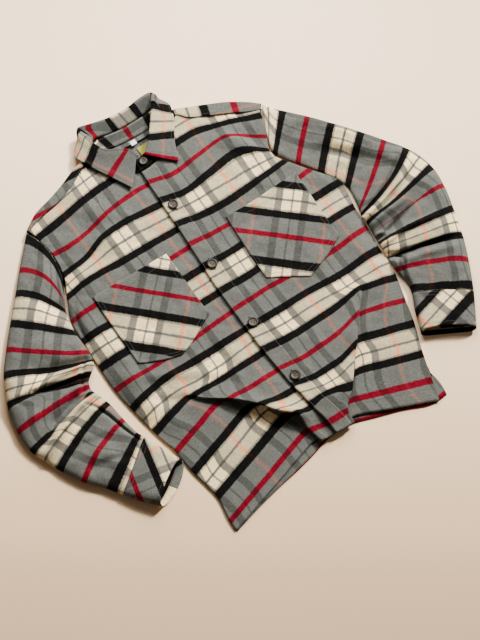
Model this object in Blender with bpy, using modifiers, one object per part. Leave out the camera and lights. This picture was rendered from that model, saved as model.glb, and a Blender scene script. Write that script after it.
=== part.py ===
"""A flannel shirt laid flat on a table: cloth panels, collar, sleeves, pockets and buttons.

Tables are in millimetres in the shirt's own plan: +Y towards the neck, +X towards the wearer's left,
z up from the table. Each front is a table of weft lines, one row for each line across the cloth, and
each sleeve a table of its cross sections. Everything sewn on a panel is made from the panel's points.
"""

import math
from collections import namedtuple

import bmesh
import bpy
import numpy as np

MM = 0.001
PLAN_CENTRE = (14.667, 79.0)  # middle of the laid shirt's outline

CLOTH = 1.6  # wall of the brushed flannel, two facing naps included
DOUBLED = 2.4  # wall of cuffs and collar, cut double
PATCH = 1.2  # wall of what is sewn flat on a panel
SEAM_GAP = 0.4
SEAM_UNDER = 1.0  # how far a front runs on under the yoke
HEM_DROP = 737.0  # neck point to hem along the cloth
LAP = [(64, 30), (650, 30), (719, 15), (737, 15)]  # how far the left front lies over the right one
PLACKET_WIDTH = 29.0
PLACKET_TOP = 129.0  # its drop under the stand
PATCH_CLEAR = 0.15  # added under a patch where its panel curves

BUTTON_RADIUS = 9.0
BUTTON_HEIGHT = 3.0
COLLAR_BUTTON_RADIUS = 7.5

# Half section of a button, as shares of its radius and of its height.
BUTTON_PROFILE = [(0.0, 0.62), (0.55, 0.62), (0.72, 1.0), (0.9, 0.95), (1.0, 0.6), (0.93, 0.15),
                  (0.75, 0.0), (0.0, 0.0)]
BUTTON_SIDES = 18

# Rows above the front's folds. The y columns are the weft line's height at the front edge, at two
# fixed widths across the chest, by the arm, and at the side.
Upper = namedtuple("Upper", "drop edge_x edge_y chest_y mid_y arm_y side_x side_y rise side_z")
# Rows through the fold. The crest is the fold's rounded edge, under is where the lower layer comes
# out from below it; s is the distance across the cloth from the front edge.
Fold = namedtuple("Fold", "drop edge_x edge_y mid_y crest_s crest_x crest_y crest_z "
                          "under_s under_x under_y under_z side_x side_y")

RIGHT_UPPER = [
    Upper(64, 18, 381, 386, 380, 370, -208, 362, 12, 12),
    Upper(112, 16, 333, 338, 332, 322, -199, 316, 12, 12),
    Upper(155, 13, 290, 297, 283, 273, -193, 276, 12, 11),
    Upper(198, 11, 250, 254, 257, 238, -198, 235, 13, 10),
    Upper(253, 8, 192, 197, 198, 202, -214, 198, 13, 8),
    Upper(296, 5, 156, 157, 157, 158, -232, 157, 12, 5),
    Upper(339, 2, 112, 112, 113, 115, -235, 118, 12, 3.8),
    Upper(394, -1, 58, 60, 60, 59, -237, 62, 12, 3.6),
    Upper(437, -2, 18, 18, 13, 12, -237, 16, 12, 3.6),
    Upper(480, -2, -22, -19, -18, -15, -232, -26, 12, 3.6),
    Upper(507, -2, -42, -45, -50, -44, -228, -52, 13, 3.6),
]
RIGHT_FOLD = [
    Fold(535, -1.5, -68, -70, 168, -138, -66, 15, 183, -150, -63, 10, -223, -80),
    Fold(578, 0, -108, -109, 127, -95, -106, 22, 161, -110, -98, 8, -213, -126),
    Fold(621, 2, -150, -152, 93, -60, -144, 26, 134, -75, -133, 7, -209, -170),
    Fold(648, 4, -170, -174, 76, -45, -166, 27, 114, -58, -153, 6.5, -204, -196),
    Fold(676, 7, -190, -193, 55, -22, -189, 25, 97, -33, -179, 6, -200, -224),
    Fold(719, 14, -229, -226, 52, -18, -222, 14, 94, -22, -218, 5.5, -206, -269),
    Fold(737, 15, -250, -248, 47, -12, -246, 11.5, 92, -20, -238, 5, -206, -286),
]
LEFT_UPPER = [
    Upper(64, 18, 380, 380, 384, 366, 262, 341, 12, 12),
    Upper(112, 16, 335, 333, 336, 320, 250, 293, 12, 12),
    Upper(155, 13, 298, 288, 292, 292, 234, 254, 12, 11),
    Upper(198, 11, 257, 247, 252, 257, 222, 230, 13, 11),
    Upper(225, 9, 229, 223, 221, 219, 223, 214, 13, 12),
    Upper(253, 8, 203, 194, 189, 193, 232, 197, 14, 13),
    Upper(296, 5, 159, 155, 152, 153, 257, 158, 13, 13),
    Upper(339, 2, 112, 108, 112, 113, 288, 109, 13, 11),
    Upper(366, 0, 88, 86, 84, 84, 286, 83, 13, 8),
    Upper(394, -1, 59, 55, 60, 59, 282, 61, 12, 4.5),
    Upper(437, -2, 19, 20, 18, 12, 277, 16, 12, 3.6),
    Upper(480, -2, -20, -24, -22, -29, 270, -28, 12, 3.6),
    Upper(507, -2, -40, -48, -47, -53, 268, -57, 13, 3.6),
]
LEFT_FOLD = [
    Fold(535, -1.5, -67, -76, 190, 193, -69, 14, 205, 205, -73, 12, 262, -86),
    Fold(578, 0, -109, -117, 172, 168, -105, 17, 205, 176, -107, 10, 249, -127),
    Fold(621, 2, -145, -156, 134, 131, -148, 19, 188, 139, -140, 8, 236, -169),
    Fold(648, 4, -163, -176, 112, 110, -170, 19, 174, 123, -163, 7.5, 225, -195),
    Fold(676, 7, -189, -188, 84, 83, -202, 18, 168, 105, -184, 7, 215, -220),
    Fold(719, 14, -228, -229, 40, 54, -230, 14, 139, 62, -217, 6, 199, -266),
    Fold(737, 15, -249, -252, 36, 51, -251, 11.5, 130, 56, -241, 5.5, 187, -299),
]
# Height of the buttoned edge along the cloth's drop, where both fronts lap.
CENTRE_RISE = [(64, 10), (155, 12), (253, 13), (394, 13), (507, 14), (578, 17), (621, 20),
               (676, 21), (719, 13.5), (737, 10.5)]
# Plan line where the fronts are sewn to the stand, between the two neck points.
NECKLINE = [(-60, 386), (-45, 364), (-22, 341), (10, 324), (33, 321), (60, 326), (90, 346),
            (113, 368), (127, 379.5)]

# Sleeve sections from armhole to cuff: the cloth's drop and plan place at the outer edge, the middle
# of the top layer and the inner edge, then the top layer's height near each.
Section = namedtuple("Section", "drop outer_x outer_y mid_x mid_y inner_x inner_y outer_z mid_z inner_z")

RIGHT_SLEEVE = [
    Section(-50, -209, 337, -195, 270, -219, 198, 12, 12, 11),
    Section(0, -255, 285, -225, 245, -224, 190, 16, 16, 12),
    Section(43, -283, 251, -252, 222, -231, 181, 18, 18, 12),
    Section(98, -318, 210, -282, 174, -245, 137, 20, 20, 13),
    Section(141, -347, 175, -292, 135, -241, 104, 22, 21, 14),
    Section(184, -374, 138, -314, 107, -247, 83, 22, 17, 16),
    Section(211, -385, 114, -330, 92, -250, 71, 23, 22, 21),
    Section(239, -396, 89, -345, 80, -258, 58, 22, 27, 26),
    Section(262, -402, 66, -330, 66, -272, 55, 20, 12, 11),
    Section(282, -405, 43, -345, 43, -281, 50, 20, 15, 12),
    Section(325, -403, 3, -352, 12, -281, 36, 20, 23, 22),
    Section(352, -394, -20, -335, 3, -274, 20, 20, 22, 21),
    Section(380, -382, -47, -325, -18, -262, 10, 20, 21, 18),
    Section(423, -361, -86, -311, -55, -250, -30, 20, 20, 17),
    Section(462, -335, -117, -290, -91, -244, -66, 18, 18, 16),
    Section(474, -327, -129, -287, -104, -242, -75, 16, 17, 15),
]
LEFT_SLEEVE = [
    Section(-82, 266, 313, 251, 286, 237, 260, 12, 12, 11),
    Section(-58, 278, 294, 252, 260, 227, 232, 14, 12, 10),
    Section(-43, 288, 281, 256, 250, 228, 221, 16, 12, 9),
    Section(0, 317, 246, 281, 214, 250, 183, 18, 12, 8),
    Section(43, 343, 211, 306, 179, 274, 147, 20, 13, 8),
    Section(98, 375, 167, 333, 132, 294, 97, 21, 14, 9),
    Section(141, 398, 132, 343, 89, 291, 50, 22, 15, 10),
    Section(184, 420, 97, 364, 64, 288, 42, 22, 22, 18),
    Section(211, 431, 71, 352, 42, 287, 31, 22, 20, 20),
    Section(239, 435, 42, 352, 27, 286, 20, 23, 20, 18),
    Section(282, 430, 1, 365, 4, 287, -1, 21, 16, 12),
    Section(325, 416, -43, 352, -33, 281, -20, 21, 22, 20),
    Section(352, 407, -67, 345, -52, 278, -33, 21, 23, 20),
    Section(380, 398, -92, 340, -68, 277, -50, 20, 16, 14),
    Section(423, 378, -133, 330, -104, 273, -76, 19, 18, 15),
    Section(462, 358, -169, 311, -141, 268, -114, 18, 18, 15),
    Section(474, 351, -181, 300, -147, 263, -126, 16, 17, 15),
]
RIGHT_CUFF = [
    Section(0, -327, -129.7, -287, -104.7, -241.7, -75.7, 17, 18, 16),
    Section(30, -308, -158, -268, -133, -229, -107, 17, 18, 17),
    Section(62, -283, -187, -246, -161, -218, -139, 16, 17, 17),
]
LEFT_CUFF = [
    Section(0, 350.6, -181.7, 299.6, -147.7, 262.6, -126.7, 17, 18, 16),
    Section(30, 334, -206, 284, -173, 248, -154, 17, 18, 16),
    Section(62, 315, -232, 268, -201, 234, -186, 15, 15, 14),
]
# Points round a sleeve's section: share of the way from outer to inner edge, and of the height.
RING = [(0.50, 0.0), (0.30, 0.0), (0.14, 0.0), (0.035, 0.12), (0.0, 0.45), (0.05, 0.84),
        (0.17, 1.0), (0.33, 1.0), (0.50, 1.0), (0.67, 1.0), (0.83, 1.0),
        (0.95, 0.84), (1.0, 0.45), (0.965, 0.12), (0.86, 0.0), (0.70, 0.0)]

# The yoke from the right shoulder tip to the left one: fold and front seam of the shoulder, or the
# back neckline where both lie close together.
Shoulder = namedtuple("Shoulder", "fold_x fold_y seam_x seam_y top_z back_x back_y")
YOKE = [
    Shoulder(-207, 339, -204, 334, 14.2, -200, 296),
    Shoulder(-178, 358, -177, 344.5, 14.4, -176, 296),
    Shoulder(-141, 369, -136, 353, 14.4, -140, 296),
    Shoulder(-112, 379, -106, 363, 14.4, -112, 296),
    Shoulder(-84, 391, -80, 376, 14.4, -84, 296),
    Shoulder(-62, 397, -60, 387, 14, -62, 296),
    Shoulder(-36, 395, -35, 389, 8, -36, 296),
    Shoulder(-2, 389, -2, 383, 6.4, -2, 296),
    Shoulder(33, 385, 33, 379, 6.4, 33, 296),
    Shoulder(68, 384, 68, 378, 6.4, 68, 296),
    Shoulder(100, 390, 100, 384, 7, 100, 296),
    Shoulder(129, 393, 127, 380, 14, 126, 296),
    Shoulder(150, 384, 142, 363.5, 14.4, 148, 296),
    Shoulder(173, 373, 164, 350.5, 14.4, 168, 296),
    Shoulder(213, 353, 203, 330, 14.4, 206, 296),
    Shoulder(245, 331, 236, 312, 14.2, 232, 296),
    Shoulder(264, 314, 256, 303, 14, 247, 296),
]

# The stand round the neck, from its right front end under the left one: foot and top.
Band = namedtuple("Band", "foot_x foot_y foot_z top_x top_y top_z")
STAND = [
    Band(44, 328, 9.5, 41, 347, 11),
    Band(22, 327, 9.5, 24, 346, 11),
    Band(-6, 333, 11, 6, 352, 12.5),
    Band(-34, 357, 12.5, -13, 372, 13.5),
    Band(-50, 384, 13, -30, 390, 14),
    Band(-48, 398, 11, -38, 399, 18),
    Band(-34, 402, 8.6, -31, 409, 17),
    Band(-17, 398, 8.4, -17, 415, 13),
    Band(-2, 392, 8.2, -9, 418, 12),
    Band(33, 388, 8, 33, 411.5, 12),
    Band(68, 387, 8, 70, 411.5, 12),
    Band(88, 393, 8.2, 92, 412.5, 12),
    Band(103, 397, 8, 101, 409, 16.5),
    Band(114, 399, 11, 106, 400, 18),
    Band(118, 382, 13, 98, 389, 14.5),
    Band(99, 354, 13.5, 79, 368, 14.5),
    Band(70, 335, 13.5, 58, 352, 14.5),
    Band(40, 326, 13.5, 36, 347, 14.5),
    Band(14, 322, 13.5, 16, 342, 14.5),
]
# The turned-down leaf from its right point round to its left point: seam, roll and outer edge.
Leaf = namedtuple("Leaf", "seam_x seam_y seam_z roll_x roll_y roll_z edge_x edge_y edge_z")
LEAF = [
    Leaf(17, 345, 16, 27, 348, 20, -15, 309, 15.5),
    Leaf(3, 357, 15.5, 12, 363, 21, -33, 346, 16),
    Leaf(-19, 378, 16, -12, 388, 22.5, -43, 369, 17),
    Leaf(-31, 394, 17, -23, 407, 24, -54, 391, 18.5),
    Leaf(-33, 407, 19, -27, 428, 25, -63, 407, 17),
    Leaf(-27, 416, 18, -30, 445, 23, -56, 425, 10),
    Leaf(-12, 421, 14, -27, 457, 19, -36, 428, 2),
    Leaf(8, 417, 12.5, 2, 449, 17, 2, 420, 0.4),
    Leaf(33, 413.6, 12.3, 32, 443, 16, 32, 414, 0.4),
    Leaf(66, 413.6, 12.3, 66, 444, 16, 66, 415, 0.4),
    Leaf(90, 415, 12.8, 96, 447, 18, 96, 418, 0.4),
    Leaf(103, 412, 19, 116, 445, 21, 122, 424, 4),
    Leaf(109, 404, 21.5, 107, 428, 25, 132, 407, 13.5),
    Leaf(105, 396, 20, 97, 413, 25, 128, 390, 18),
    Leaf(87, 373, 18, 75, 384, 23, 114, 365, 17.5),
    Leaf(64, 352, 17.2, 56, 361, 22, 98, 341, 16.5),
    Leaf(41, 338, 17.4, 35, 347, 20.5, 79, 304, 15),
]

BACK_HEM = [(-206, -288), (-154, -279), (-68, -267), (-25, -256.5), (-8, -250), (20, -247),
            (46, -247), (86, -260), (126, -275), (180, -299), (206, -297)]
BACK_TOP_Y = 295.6
BACK_TOP_DROP = 165.0
BACK_INSET = 1.5  # how far the back stays inside the fronts' side edges
VENT_SHARE = 0.9  # where the back starts to stand out at the left vent, as a share of its length


# ---------------------------------------------------------------- curves

def smooth(stations, values, at, held=False):
    """Values at the given places on a smooth curve through the stations.

    A held curve doesn't swing past its stations, where a short step follows a long one.
    """
    stations = np.asarray(stations, float)
    values = np.asarray(values, float)
    at = np.clip(np.asarray(at, float), stations[0], stations[-1])
    step = np.diff(stations)
    slope = np.diff(values, axis=0) / step.reshape((-1,) + (1,) * (values.ndim - 1))
    tangent = np.empty_like(values)
    tangent[0] = slope[0]
    tangent[-1] = slope[-1]
    left = step[:-1].reshape((-1,) + (1,) * (values.ndim - 1))
    right = step[1:].reshape(left.shape)
    tangent[1:-1] = (slope[:-1] * right + slope[1:] * left) / (left + right)
    if held:
        most = 3 * np.minimum(abs(slope[:-1]), abs(slope[1:])) * (slope[:-1] * slope[1:] > 0)
        tangent[1:-1] = np.clip(tangent[1:-1], -most, most)
    cell = np.clip(np.searchsorted(stations, at, side="right") - 1, 0, len(step) - 1)
    shape = at.shape + (1,) * (values.ndim - 1)
    width = step[cell].reshape(shape)
    u = ((at - stations[cell]).reshape(shape)) / width
    return ((1 + 2 * u) * (1 - u) ** 2 * values[cell] + u * (1 - u) ** 2 * width * tangent[cell]
            + u * u * (3 - 2 * u) * values[cell + 1] + u * u * (u - 1) * width * tangent[cell + 1])


def spread(rows, columns):
    """Named columns of a table as an array."""
    return np.array([[getattr(row, name) for name in columns.split()] for row in rows], float)


# ---------------------------------------------------------------- fronts

CHEST_STATIONS = {"right": (0, 72, 144, 203), "left": (0, 42, 97, 167)}
CREST_ABOVE = {"right": 165.0, "left": 185.0}  # where the fold's columns run in the flat cloth above
CREST_FROM_SIDE = 70.0  # and how far from the side they stay where the panel is narrow
LIP = 4.0  # cloth on each side of a crest that takes up its turn
LIP_RADIUS = 2.6
LIP_IN = 3.0  # how far an overhanging crest turns back under
SIDE_ROUND = 12.0  # width of the rounding at the side above the folds
TUCK = 9.0  # most that the hidden layer runs back under the crest
OVERHANG = 12.0  # hidden cloth at which a crest overhangs fully
SHOULDER_IN = 0.12  # where the side's rounding starts, as a share of the lower layer
SIDE_REST = 3.6  # height of the side edge where the lower layer lies on the back
UNDERLAP = 3.0  # how far the right front's buttoned edge lies under the left one
DROPS_AT_TOP = (40.0, 150.0)  # drops between which every front starts
# Where a front's eleven columns of knots run: buttoned edge, two thirds, the crest with its lips, the
# tuck, the lower layer and the side. Named by the distance across a middling row.
COLUMNS = np.array([0, 50, 100, 146, 150, 154, 168, 190, 206, 223, 235], float)


def along(table, drop):
    """Value at a drop from a table of (drop, value) pairs."""
    drops, values = zip(*table)
    return float(smooth(drops, values, drop))


def buttoned_edge(row, right):
    """Plan x of the front's own edge, which lies further over on the side underneath."""
    return row.edge_x + (along(LAP, row.drop) if right else 0.0)


def upper_knots(row, side):
    """Eleven points (s, x, y, z) across the cloth on a row without a fold."""
    right = side == "right"
    edge_x = buttoned_edge(row, right)
    reach = abs(row.side_x - edge_x)
    crest = min(CREST_ABOVE[side], reach - CREST_FROM_SIDE)
    under = crest + 2 * (COLUMNS[7] - COLUMNS[6])
    across = np.array([0, crest / 3, crest * 2 / 3, crest - LIP, crest, crest + LIP,
                       (crest + under) / 2, under, (under + reach - SIDE_ROUND) / 2,
                       reach - SIDE_ROUND, reach])
    stations = CHEST_STATIONS[side] + (reach,)
    heights = (row.edge_y, row.chest_y, row.mid_y, row.arm_y, row.side_y)
    y = smooth(stations, heights, across)
    x = edge_x + (-across if right else across)
    centre = along(CENTRE_RISE, row.drop)
    z = np.full(len(COLUMNS), float(row.rise))
    z[:2] = centre
    z[-2] = (row.rise + row.side_z) / 2
    z[-1] = row.side_z
    if right:
        z[0] -= UNDERLAP
        z[1] -= UNDERLAP * 0.7
    return np.stack([across, x, y, z], 1)


def fold_knots(row, side):
    """Eleven points (s, x, y, z) across the cloth on a row that runs through the fold."""
    right = side == "right"
    way = -1.0 if right else 1.0
    edge = np.array([0, buttoned_edge(row, right), row.edge_y])
    crest = np.array([row.crest_s, row.crest_x, row.crest_y])
    under = np.array([row.under_s, row.under_x, row.under_y])
    out = (crest - edge)[1:] / math.hypot(*(crest - edge)[1:])
    lower = math.hypot(row.side_x - row.under_x, row.side_y - row.under_y)
    rim = np.array([row.under_s + lower, row.side_x, row.side_y])
    middle_y = smooth((0, 0.5, 1), (row.edge_y, row.mid_y, row.crest_y), (1 / 3, 2 / 3))
    first = edge + (crest - edge) / 3
    second = edge + (crest - edge) * 2 / 3
    first[2], second[2] = middle_y
    hidden = under[0] - crest[0] - math.hypot(under[1] - crest[1], under[2] - crest[2])
    overhang = min(1.0, hidden / OVERHANG)
    radius = min(LIP_RADIUS, (row.crest_z - row.under_z) / 3)
    lip = crest - [LIP, *(out * LIP_RADIUS)]
    turned = crest + [LIP, *(out * (LIP - (LIP + LIP_IN) * overhang))]
    tuck = (crest + under) / 2
    tuck[1] -= way * min(TUCK, hidden / 2) * overhang
    plan = [edge, first, second, lip, crest, turned, tuck, under, (under + rim) / 2,
            rim + (under - rim) * SHOULDER_IN, rim]
    centre = along(CENTRE_RISE, row.drop)
    low = row.crest_z - 2 * radius
    z = [centre, centre + 0.3, (centre + row.crest_z) / 2 + 0.6, row.crest_z, row.crest_z - radius,
         low, row.under_z + 0.45 * (low - row.under_z), row.under_z, row.under_z + 0.4,
         SIDE_REST + 1.2, SIDE_REST]
    if right:
        z[0] -= UNDERLAP + 0.6
        z[1] -= UNDERLAP + 0.3
        z[2] -= UNDERLAP * 0.8
    return np.column_stack([np.array(plan), z])


def front_rows(side):
    """Drops and knots of every weft line of one front."""
    upper, folded = (RIGHT_UPPER, RIGHT_FOLD) if side == "right" else (LEFT_UPPER, LEFT_FOLD)
    drops = [row.drop for row in upper + folded]
    knots = [upper_knots(row, side) for row in upper] + [fold_knots(row, side) for row in folded]
    return np.array(drops, float), np.array(knots)


FRONTS = {side: front_rows(side) for side in ("right", "left")}


def front_at(side, column, drop):
    """The cloth (s, x, y, z) at a column, as COLUMNS counts them, and a drop."""
    drops, knots = FRONTS[side]
    return smooth(COLUMNS, smooth(drops, knots, drop), column, held=True)


def front_on_cloth(side, across, drop):
    """The panel's point at a distance across the cloth and a drop."""
    line = front_at(side, np.linspace(0, COLUMNS[-1], 161), drop)
    return np.array([np.interp(across, line[:, 0], line[:, k]) for k in (1, 2, 3)])


def side_edge(side, drop):
    return front_at(side, COLUMNS[-1], drop)[1:]


def top_line(side):
    """Plan points of the line where a front starts: shoulder seam, then neckline."""
    right = side == "right"
    seam = [(row.seam_x, row.seam_y + SEAM_UNDER) for row in YOKE if row.top_z > 10]
    seam = [point for point in seam if (point[0] < -61 if right else point[0] > 128)]
    line = seam + NECKLINE[:5] if right else NECKLINE[4:] + seam
    return zip(*line)


def start_drop(side, column, line):
    """Drop at which a knot column meets the panel's top line."""
    xs, ys = line
    low, high = DROPS_AT_TOP
    for _ in range(24):
        middle = (low + high) / 2
        x, y = front_at(side, column, middle)[1:3]
        if y > smooth(xs, ys, x):
            low = middle
        else:
            high = middle
    return high


def front_surface(side, columns, rows):
    """Grid of a front's outer points, top line to hem."""
    line = tuple(top_line(side))
    grid = np.empty((rows, len(columns), 3))
    for j, column in enumerate(columns):
        start = start_drop(side, column, line)
        for i, share in enumerate(np.linspace(0, 1, rows)):
            grid[i, j] = front_at(side, column, start + share * (HEM_DROP - start))[1:]
    return grid


# ---------------------------------------------------------------- meshes

def cloth_object(name, grid, wall, color, around=False, flip=False, collection=None):
    """A sheet through a grid of points in mm, with its wall put inside by Solidify."""
    rows, columns = grid.shape[:2]
    form = bmesh.new()
    verts = [[form.verts.new(((x - PLAN_CENTRE[0]) * MM, (y - PLAN_CENTRE[1]) * MM, z * MM))
              for x, y, z in line] for line in grid]
    last = columns if around else columns - 1
    for i in range(rows - 1):
        for j in range(last):
            k = (j + 1) % columns
            corners = [verts[i][j], verts[i + 1][j], verts[i + 1][k], verts[i][k]]
            form.faces.new(corners[::-1] if flip else corners)
    mesh = bpy.data.meshes.new(name)
    form.to_mesh(mesh)
    form.free()
    mesh.shade_smooth()
    piece = bpy.data.objects.new(name, mesh)
    collection.objects.link(piece)
    solid = piece.modifiers.new("cloth wall", "SOLIDIFY")
    solid.thickness = wall * MM
    solid.offset = -1
    mesh.materials.append(material(name, color))
    return piece


def material(name, color, roughness=0.9):
    made = bpy.data.materials.new(name)
    made.use_nodes = True
    shader = made.node_tree.nodes["Principled BSDF"]
    shader.inputs["Base Color"].default_value = (*color, 1)
    shader.inputs["Roughness"].default_value = roughness
    shader.inputs["Metallic"].default_value = 0.0
    return made


GREY = (0.29, 0.30, 0.28)
LIGHT_GREY = (0.36, 0.37, 0.35)
CREAM = (0.66, 0.60, 0.50)
YELLOW = (0.70, 0.69, 0.05)
WHITE = (0.82, 0.80, 0.76)
HORN = (0.09, 0.06, 0.04)


def lifted(grid, height):
    """The grid moved out along its own normals."""
    down = np.gradient(grid, axis=0)
    across = np.gradient(grid, axis=1)
    normal = np.cross(down, across)
    normal /= np.linalg.norm(normal, axis=2, keepdims=True)
    normal *= np.sign(normal[..., 2:3])
    return grid + normal * height


# ---------------------------------------------------------------- pieces

# Columns that the fronts' meshes run along, closer round the fold.
FRONT_COLUMNS = [0, 25, 50, 75, 100, 125, 140, 146, 148, 150, 152, 154, 158, 163, 168, 176, 183, 190,
                 200, 212, 223, 229, 235]


def make_fronts(collection):
    for side in ("right", "left"):
        grid = front_surface(side, FRONT_COLUMNS, 34)
        cloth_object("front_" + side, grid, CLOTH, GREY, flip=side == "right", collection=collection)


def make_placket(collection):
    lines = []
    for drop in np.linspace(PLACKET_TOP, HEM_DROP - 0.5, 36):
        lines.append([front_on_cloth("left", s, drop) for s in (0.4, 8, 15, 22, PLACKET_WIDTH)])
    grid = lifted(np.array(lines), SEAM_GAP + PATCH + PATCH_CLEAR)
    cloth_object("placket_band", grid, PATCH, LIGHT_GREY, collection=collection)


# Patch pockets on the cloth: distance across from the front edge, and drop, at the four corners and
# the foot's point.
Pocket = namedtuple("Pocket", "near far top_near top_far foot_near foot_far point_s point_drop")
POCKETS = {
    "right": Pocket(81, 226, 284, 283, 417, 419, 158, 451),
    "left": Pocket(80, 227, 279, 284, 419, 423, 143, 456),
}


def pocket_grid(side, columns, rows):
    spec = POCKETS[side]
    grid = np.empty((rows, columns, 3))
    width = spec.far - spec.near
    for j, share in enumerate(np.linspace(0, 1, columns)):
        s = spec.near + share * width
        top = spec.top_near + share * (spec.top_far - spec.top_near)
        bend = (spec.point_s - spec.near) / width
        if share <= bend:
            foot = spec.foot_near + (spec.point_drop - spec.foot_near) * share / bend
        else:
            foot = spec.foot_far + (spec.point_drop - spec.foot_far) * (1 - share) / (1 - bend)
        for i, down in enumerate(np.linspace(0, 1, rows)):
            grid[i, j] = front_on_cloth(side, s, top + down * (foot - top))
    return lifted(grid, SEAM_GAP + PATCH + PATCH_CLEAR)


def make_pockets(collection):
    for side in ("right", "left"):
        cloth_object("pocket_" + side, pocket_grid(side, 11, 9), PATCH, LIGHT_GREY,
                     flip=side == "right", collection=collection)


def make_back(collection):
    down = np.linspace(0, 1, 17)
    xs, ys = zip(*BACK_HEM)
    grid = np.empty((len(down), 13, 3))
    for i, share in enumerate(down):
        drop = BACK_TOP_DROP + share * (HEM_DROP - BACK_TOP_DROP)
        left = side_edge("right", drop)[0] + BACK_INSET
        right = side_edge("left", drop)[0] - BACK_INSET
        vent = max(0.0, (share - VENT_SHARE) / (1 - VENT_SHARE))
        right += vent * (xs[-1] - right)
        for j, x in enumerate(np.linspace(left, right, grid.shape[1])):
            grid[i, j] = (x, BACK_TOP_Y + share * (smooth(xs, ys, x) - BACK_TOP_Y), CLOTH)
    cloth_object("back", grid, CLOTH, GREY, collection=collection)


SHOULDER_TURN = 6.0  # width of the yoke's turn over the shoulder fold
# The turn's points: share of that width in from the fold, and of the height, bottom to top.
TURN = [(1.0, 0.0), (0.35, 0.05), (0.0, 0.3), (0.0, 0.7), (0.35, 0.96), (1.0, 1.0)]
YOKE_PATH = [0, 40, 80, 86, 89, 92, 95, 101, 112]  # stations of the path below


def yoke_grid(stations, fractions):
    """From the back seam under the shoulder fold and over it to the front seam."""
    table = smooth(np.arange(len(YOKE)), spread(YOKE, " ".join(Shoulder._fields)), stations)
    lines = []
    for fold_x, fold_y, seam_x, seam_y, top_z, back_x, back_y in table:
        inward = np.array([seam_x - fold_x, seam_y - fold_y])
        length = np.hypot(*inward)
        step = inward / length * min(SHOULDER_TURN, 0.6 * length)
        turn = [(fold_x + step[0] * share, fold_y + step[1] * share, top_z * height)
                for share, height in TURN]
        back = np.array([back_x, back_y, 0.0])
        path = np.array([back, (back + turn[0]) / 2, *turn, (seam_x, seam_y, top_z)])
        lines.append(smooth(YOKE_PATH, path, fractions, held=True))
    return np.swapaxes(np.array(lines), 0, 1)


def make_yoke(collection):
    stations = np.linspace(0, len(YOKE) - 1, 33)
    grid = yoke_grid(stations, YOKE_PATH)
    cloth_object("yoke", grid, CLOTH, LIGHT_GREY, collection=collection)


def stand_grid(stations, heights):
    table = smooth(np.arange(len(STAND)), spread(STAND, " ".join(Band._fields)), stations)
    return np.array([[foot + (top - foot) * share for foot, top in ((row[:3], row[3:]) for row in table)]
                     for share in heights])


LEAF_PATH = [0, 10, 13, 16, 32, 50]  # stations of the leaf's path: seam, three at the roll, half, edge
ROLL_RADIUS = 2.6
HALF_WAY = 0.55


def across_roll(arm, roll_line):
    """Unit direction of an arm of the fold, square to the roll line."""
    arm = arm - roll_line * (arm @ roll_line)
    return arm / np.linalg.norm(arm)


def leaf_grid(stations, fractions):
    """Seam up to the roll and over it to the outer edge."""
    count = np.arange(len(LEAF))
    rows = spread(LEAF, " ".join(Leaf._fields))
    table = smooth(count, rows, stations)
    ahead = smooth(count, rows[:, 3:6], np.asarray(stations) + 0.1)
    behind = smooth(count, rows[:, 3:6], np.asarray(stations) - 0.1)
    lines = []
    for row, roll_line in zip(table, ahead - behind):
        seam, roll, edge = row[:3], row[3:6], row[6:]
        roll_line /= np.linalg.norm(roll_line)
        inner = across_roll(seam - roll, roll_line)
        outer = across_roll(edge - roll, roll_line)
        out = -(inner + outer) / np.linalg.norm(inner + outer)
        over = (outer - inner) / np.linalg.norm(outer - inner)
        path = np.array([seam, roll - (out + over) * ROLL_RADIUS, roll,
                         roll - (out - over) * ROLL_RADIUS, roll + (edge - roll) * HALF_WAY, edge])
        lines.append(smooth(LEAF_PATH, path, fractions, held=True))
    return np.swapaxes(np.array(lines), 0, 1)


def make_collar(collection):
    stand = stand_grid(np.linspace(0, len(STAND) - 1, 41), (0, 0.5, 1))
    cloth_object("collar_stand", stand, CLOTH, GREY, flip=True, collection=collection)
    leaf = leaf_grid(np.linspace(0, len(LEAF) - 1, 41), (0, 5, 10, 11.5, 13, 14.5, 16, 24, 32, 41, 50))
    cloth_object("collar_leaf", leaf, PATCH, LIGHT_GREY, flip=True, collection=collection)


def ring_grid(table, stations, ring=RING):
    """Closed sections of a flattened tube."""
    names = "outer_x outer_y mid_x mid_y inner_x inner_y outer_z mid_z inner_z"
    rows = smooth([row.drop for row in table], spread(table, names), stations)
    grid = np.empty((len(stations), len(ring), 3))
    for i, (ox, oy, mx, my, ix, iy, oz, mz, iz) in enumerate(rows):
        for j, (share, height) in enumerate(ring):
            top = smooth((0, 0.2, 0.5, 0.8, 1), (oz, oz, mz, iz, iz), share)
            bow = 4 * share * (1 - share) * min(1.0, height * 2)
            straight_x = ox + share * (ix - ox)
            straight_y = oy + share * (iy - oy)
            grid[i, j] = (straight_x + bow * (mx - (ox + ix) / 2),
                          straight_y + bow * (my - (oy + iy) / 2), height * top)
    return grid


def make_sleeves(collection):
    for side, sleeve, cuff in (("right", RIGHT_SLEEVE, RIGHT_CUFF), ("left", LEFT_SLEEVE, LEFT_CUFF)):
        stations = np.concatenate([np.linspace(a.drop, b.drop, 3)[:-1]
                                   for a, b in zip(sleeve[:-1], sleeve[1:])] + [[sleeve[-1].drop]])
        flip = side == "left"
        cloth_object("sleeve_" + side, ring_grid(sleeve, stations), CLOTH, GREY, around=True,
                     flip=flip, collection=collection)
        cloth_object("cuff_" + side, ring_grid(cuff, np.linspace(0, cuff[-1].drop, 5)), DOUBLED,
                     LIGHT_GREY, around=True, flip=flip, collection=collection)


# ---------------------------------------------------------------- buttons and labels

BUTTON_DROPS = (214, 343, 476, 603)  # on the placket, from the chest down
BUTTON_ACROSS = 16.0
COLLAR_BUTTON_STATION = 17.4  # place along the stand's table


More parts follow.
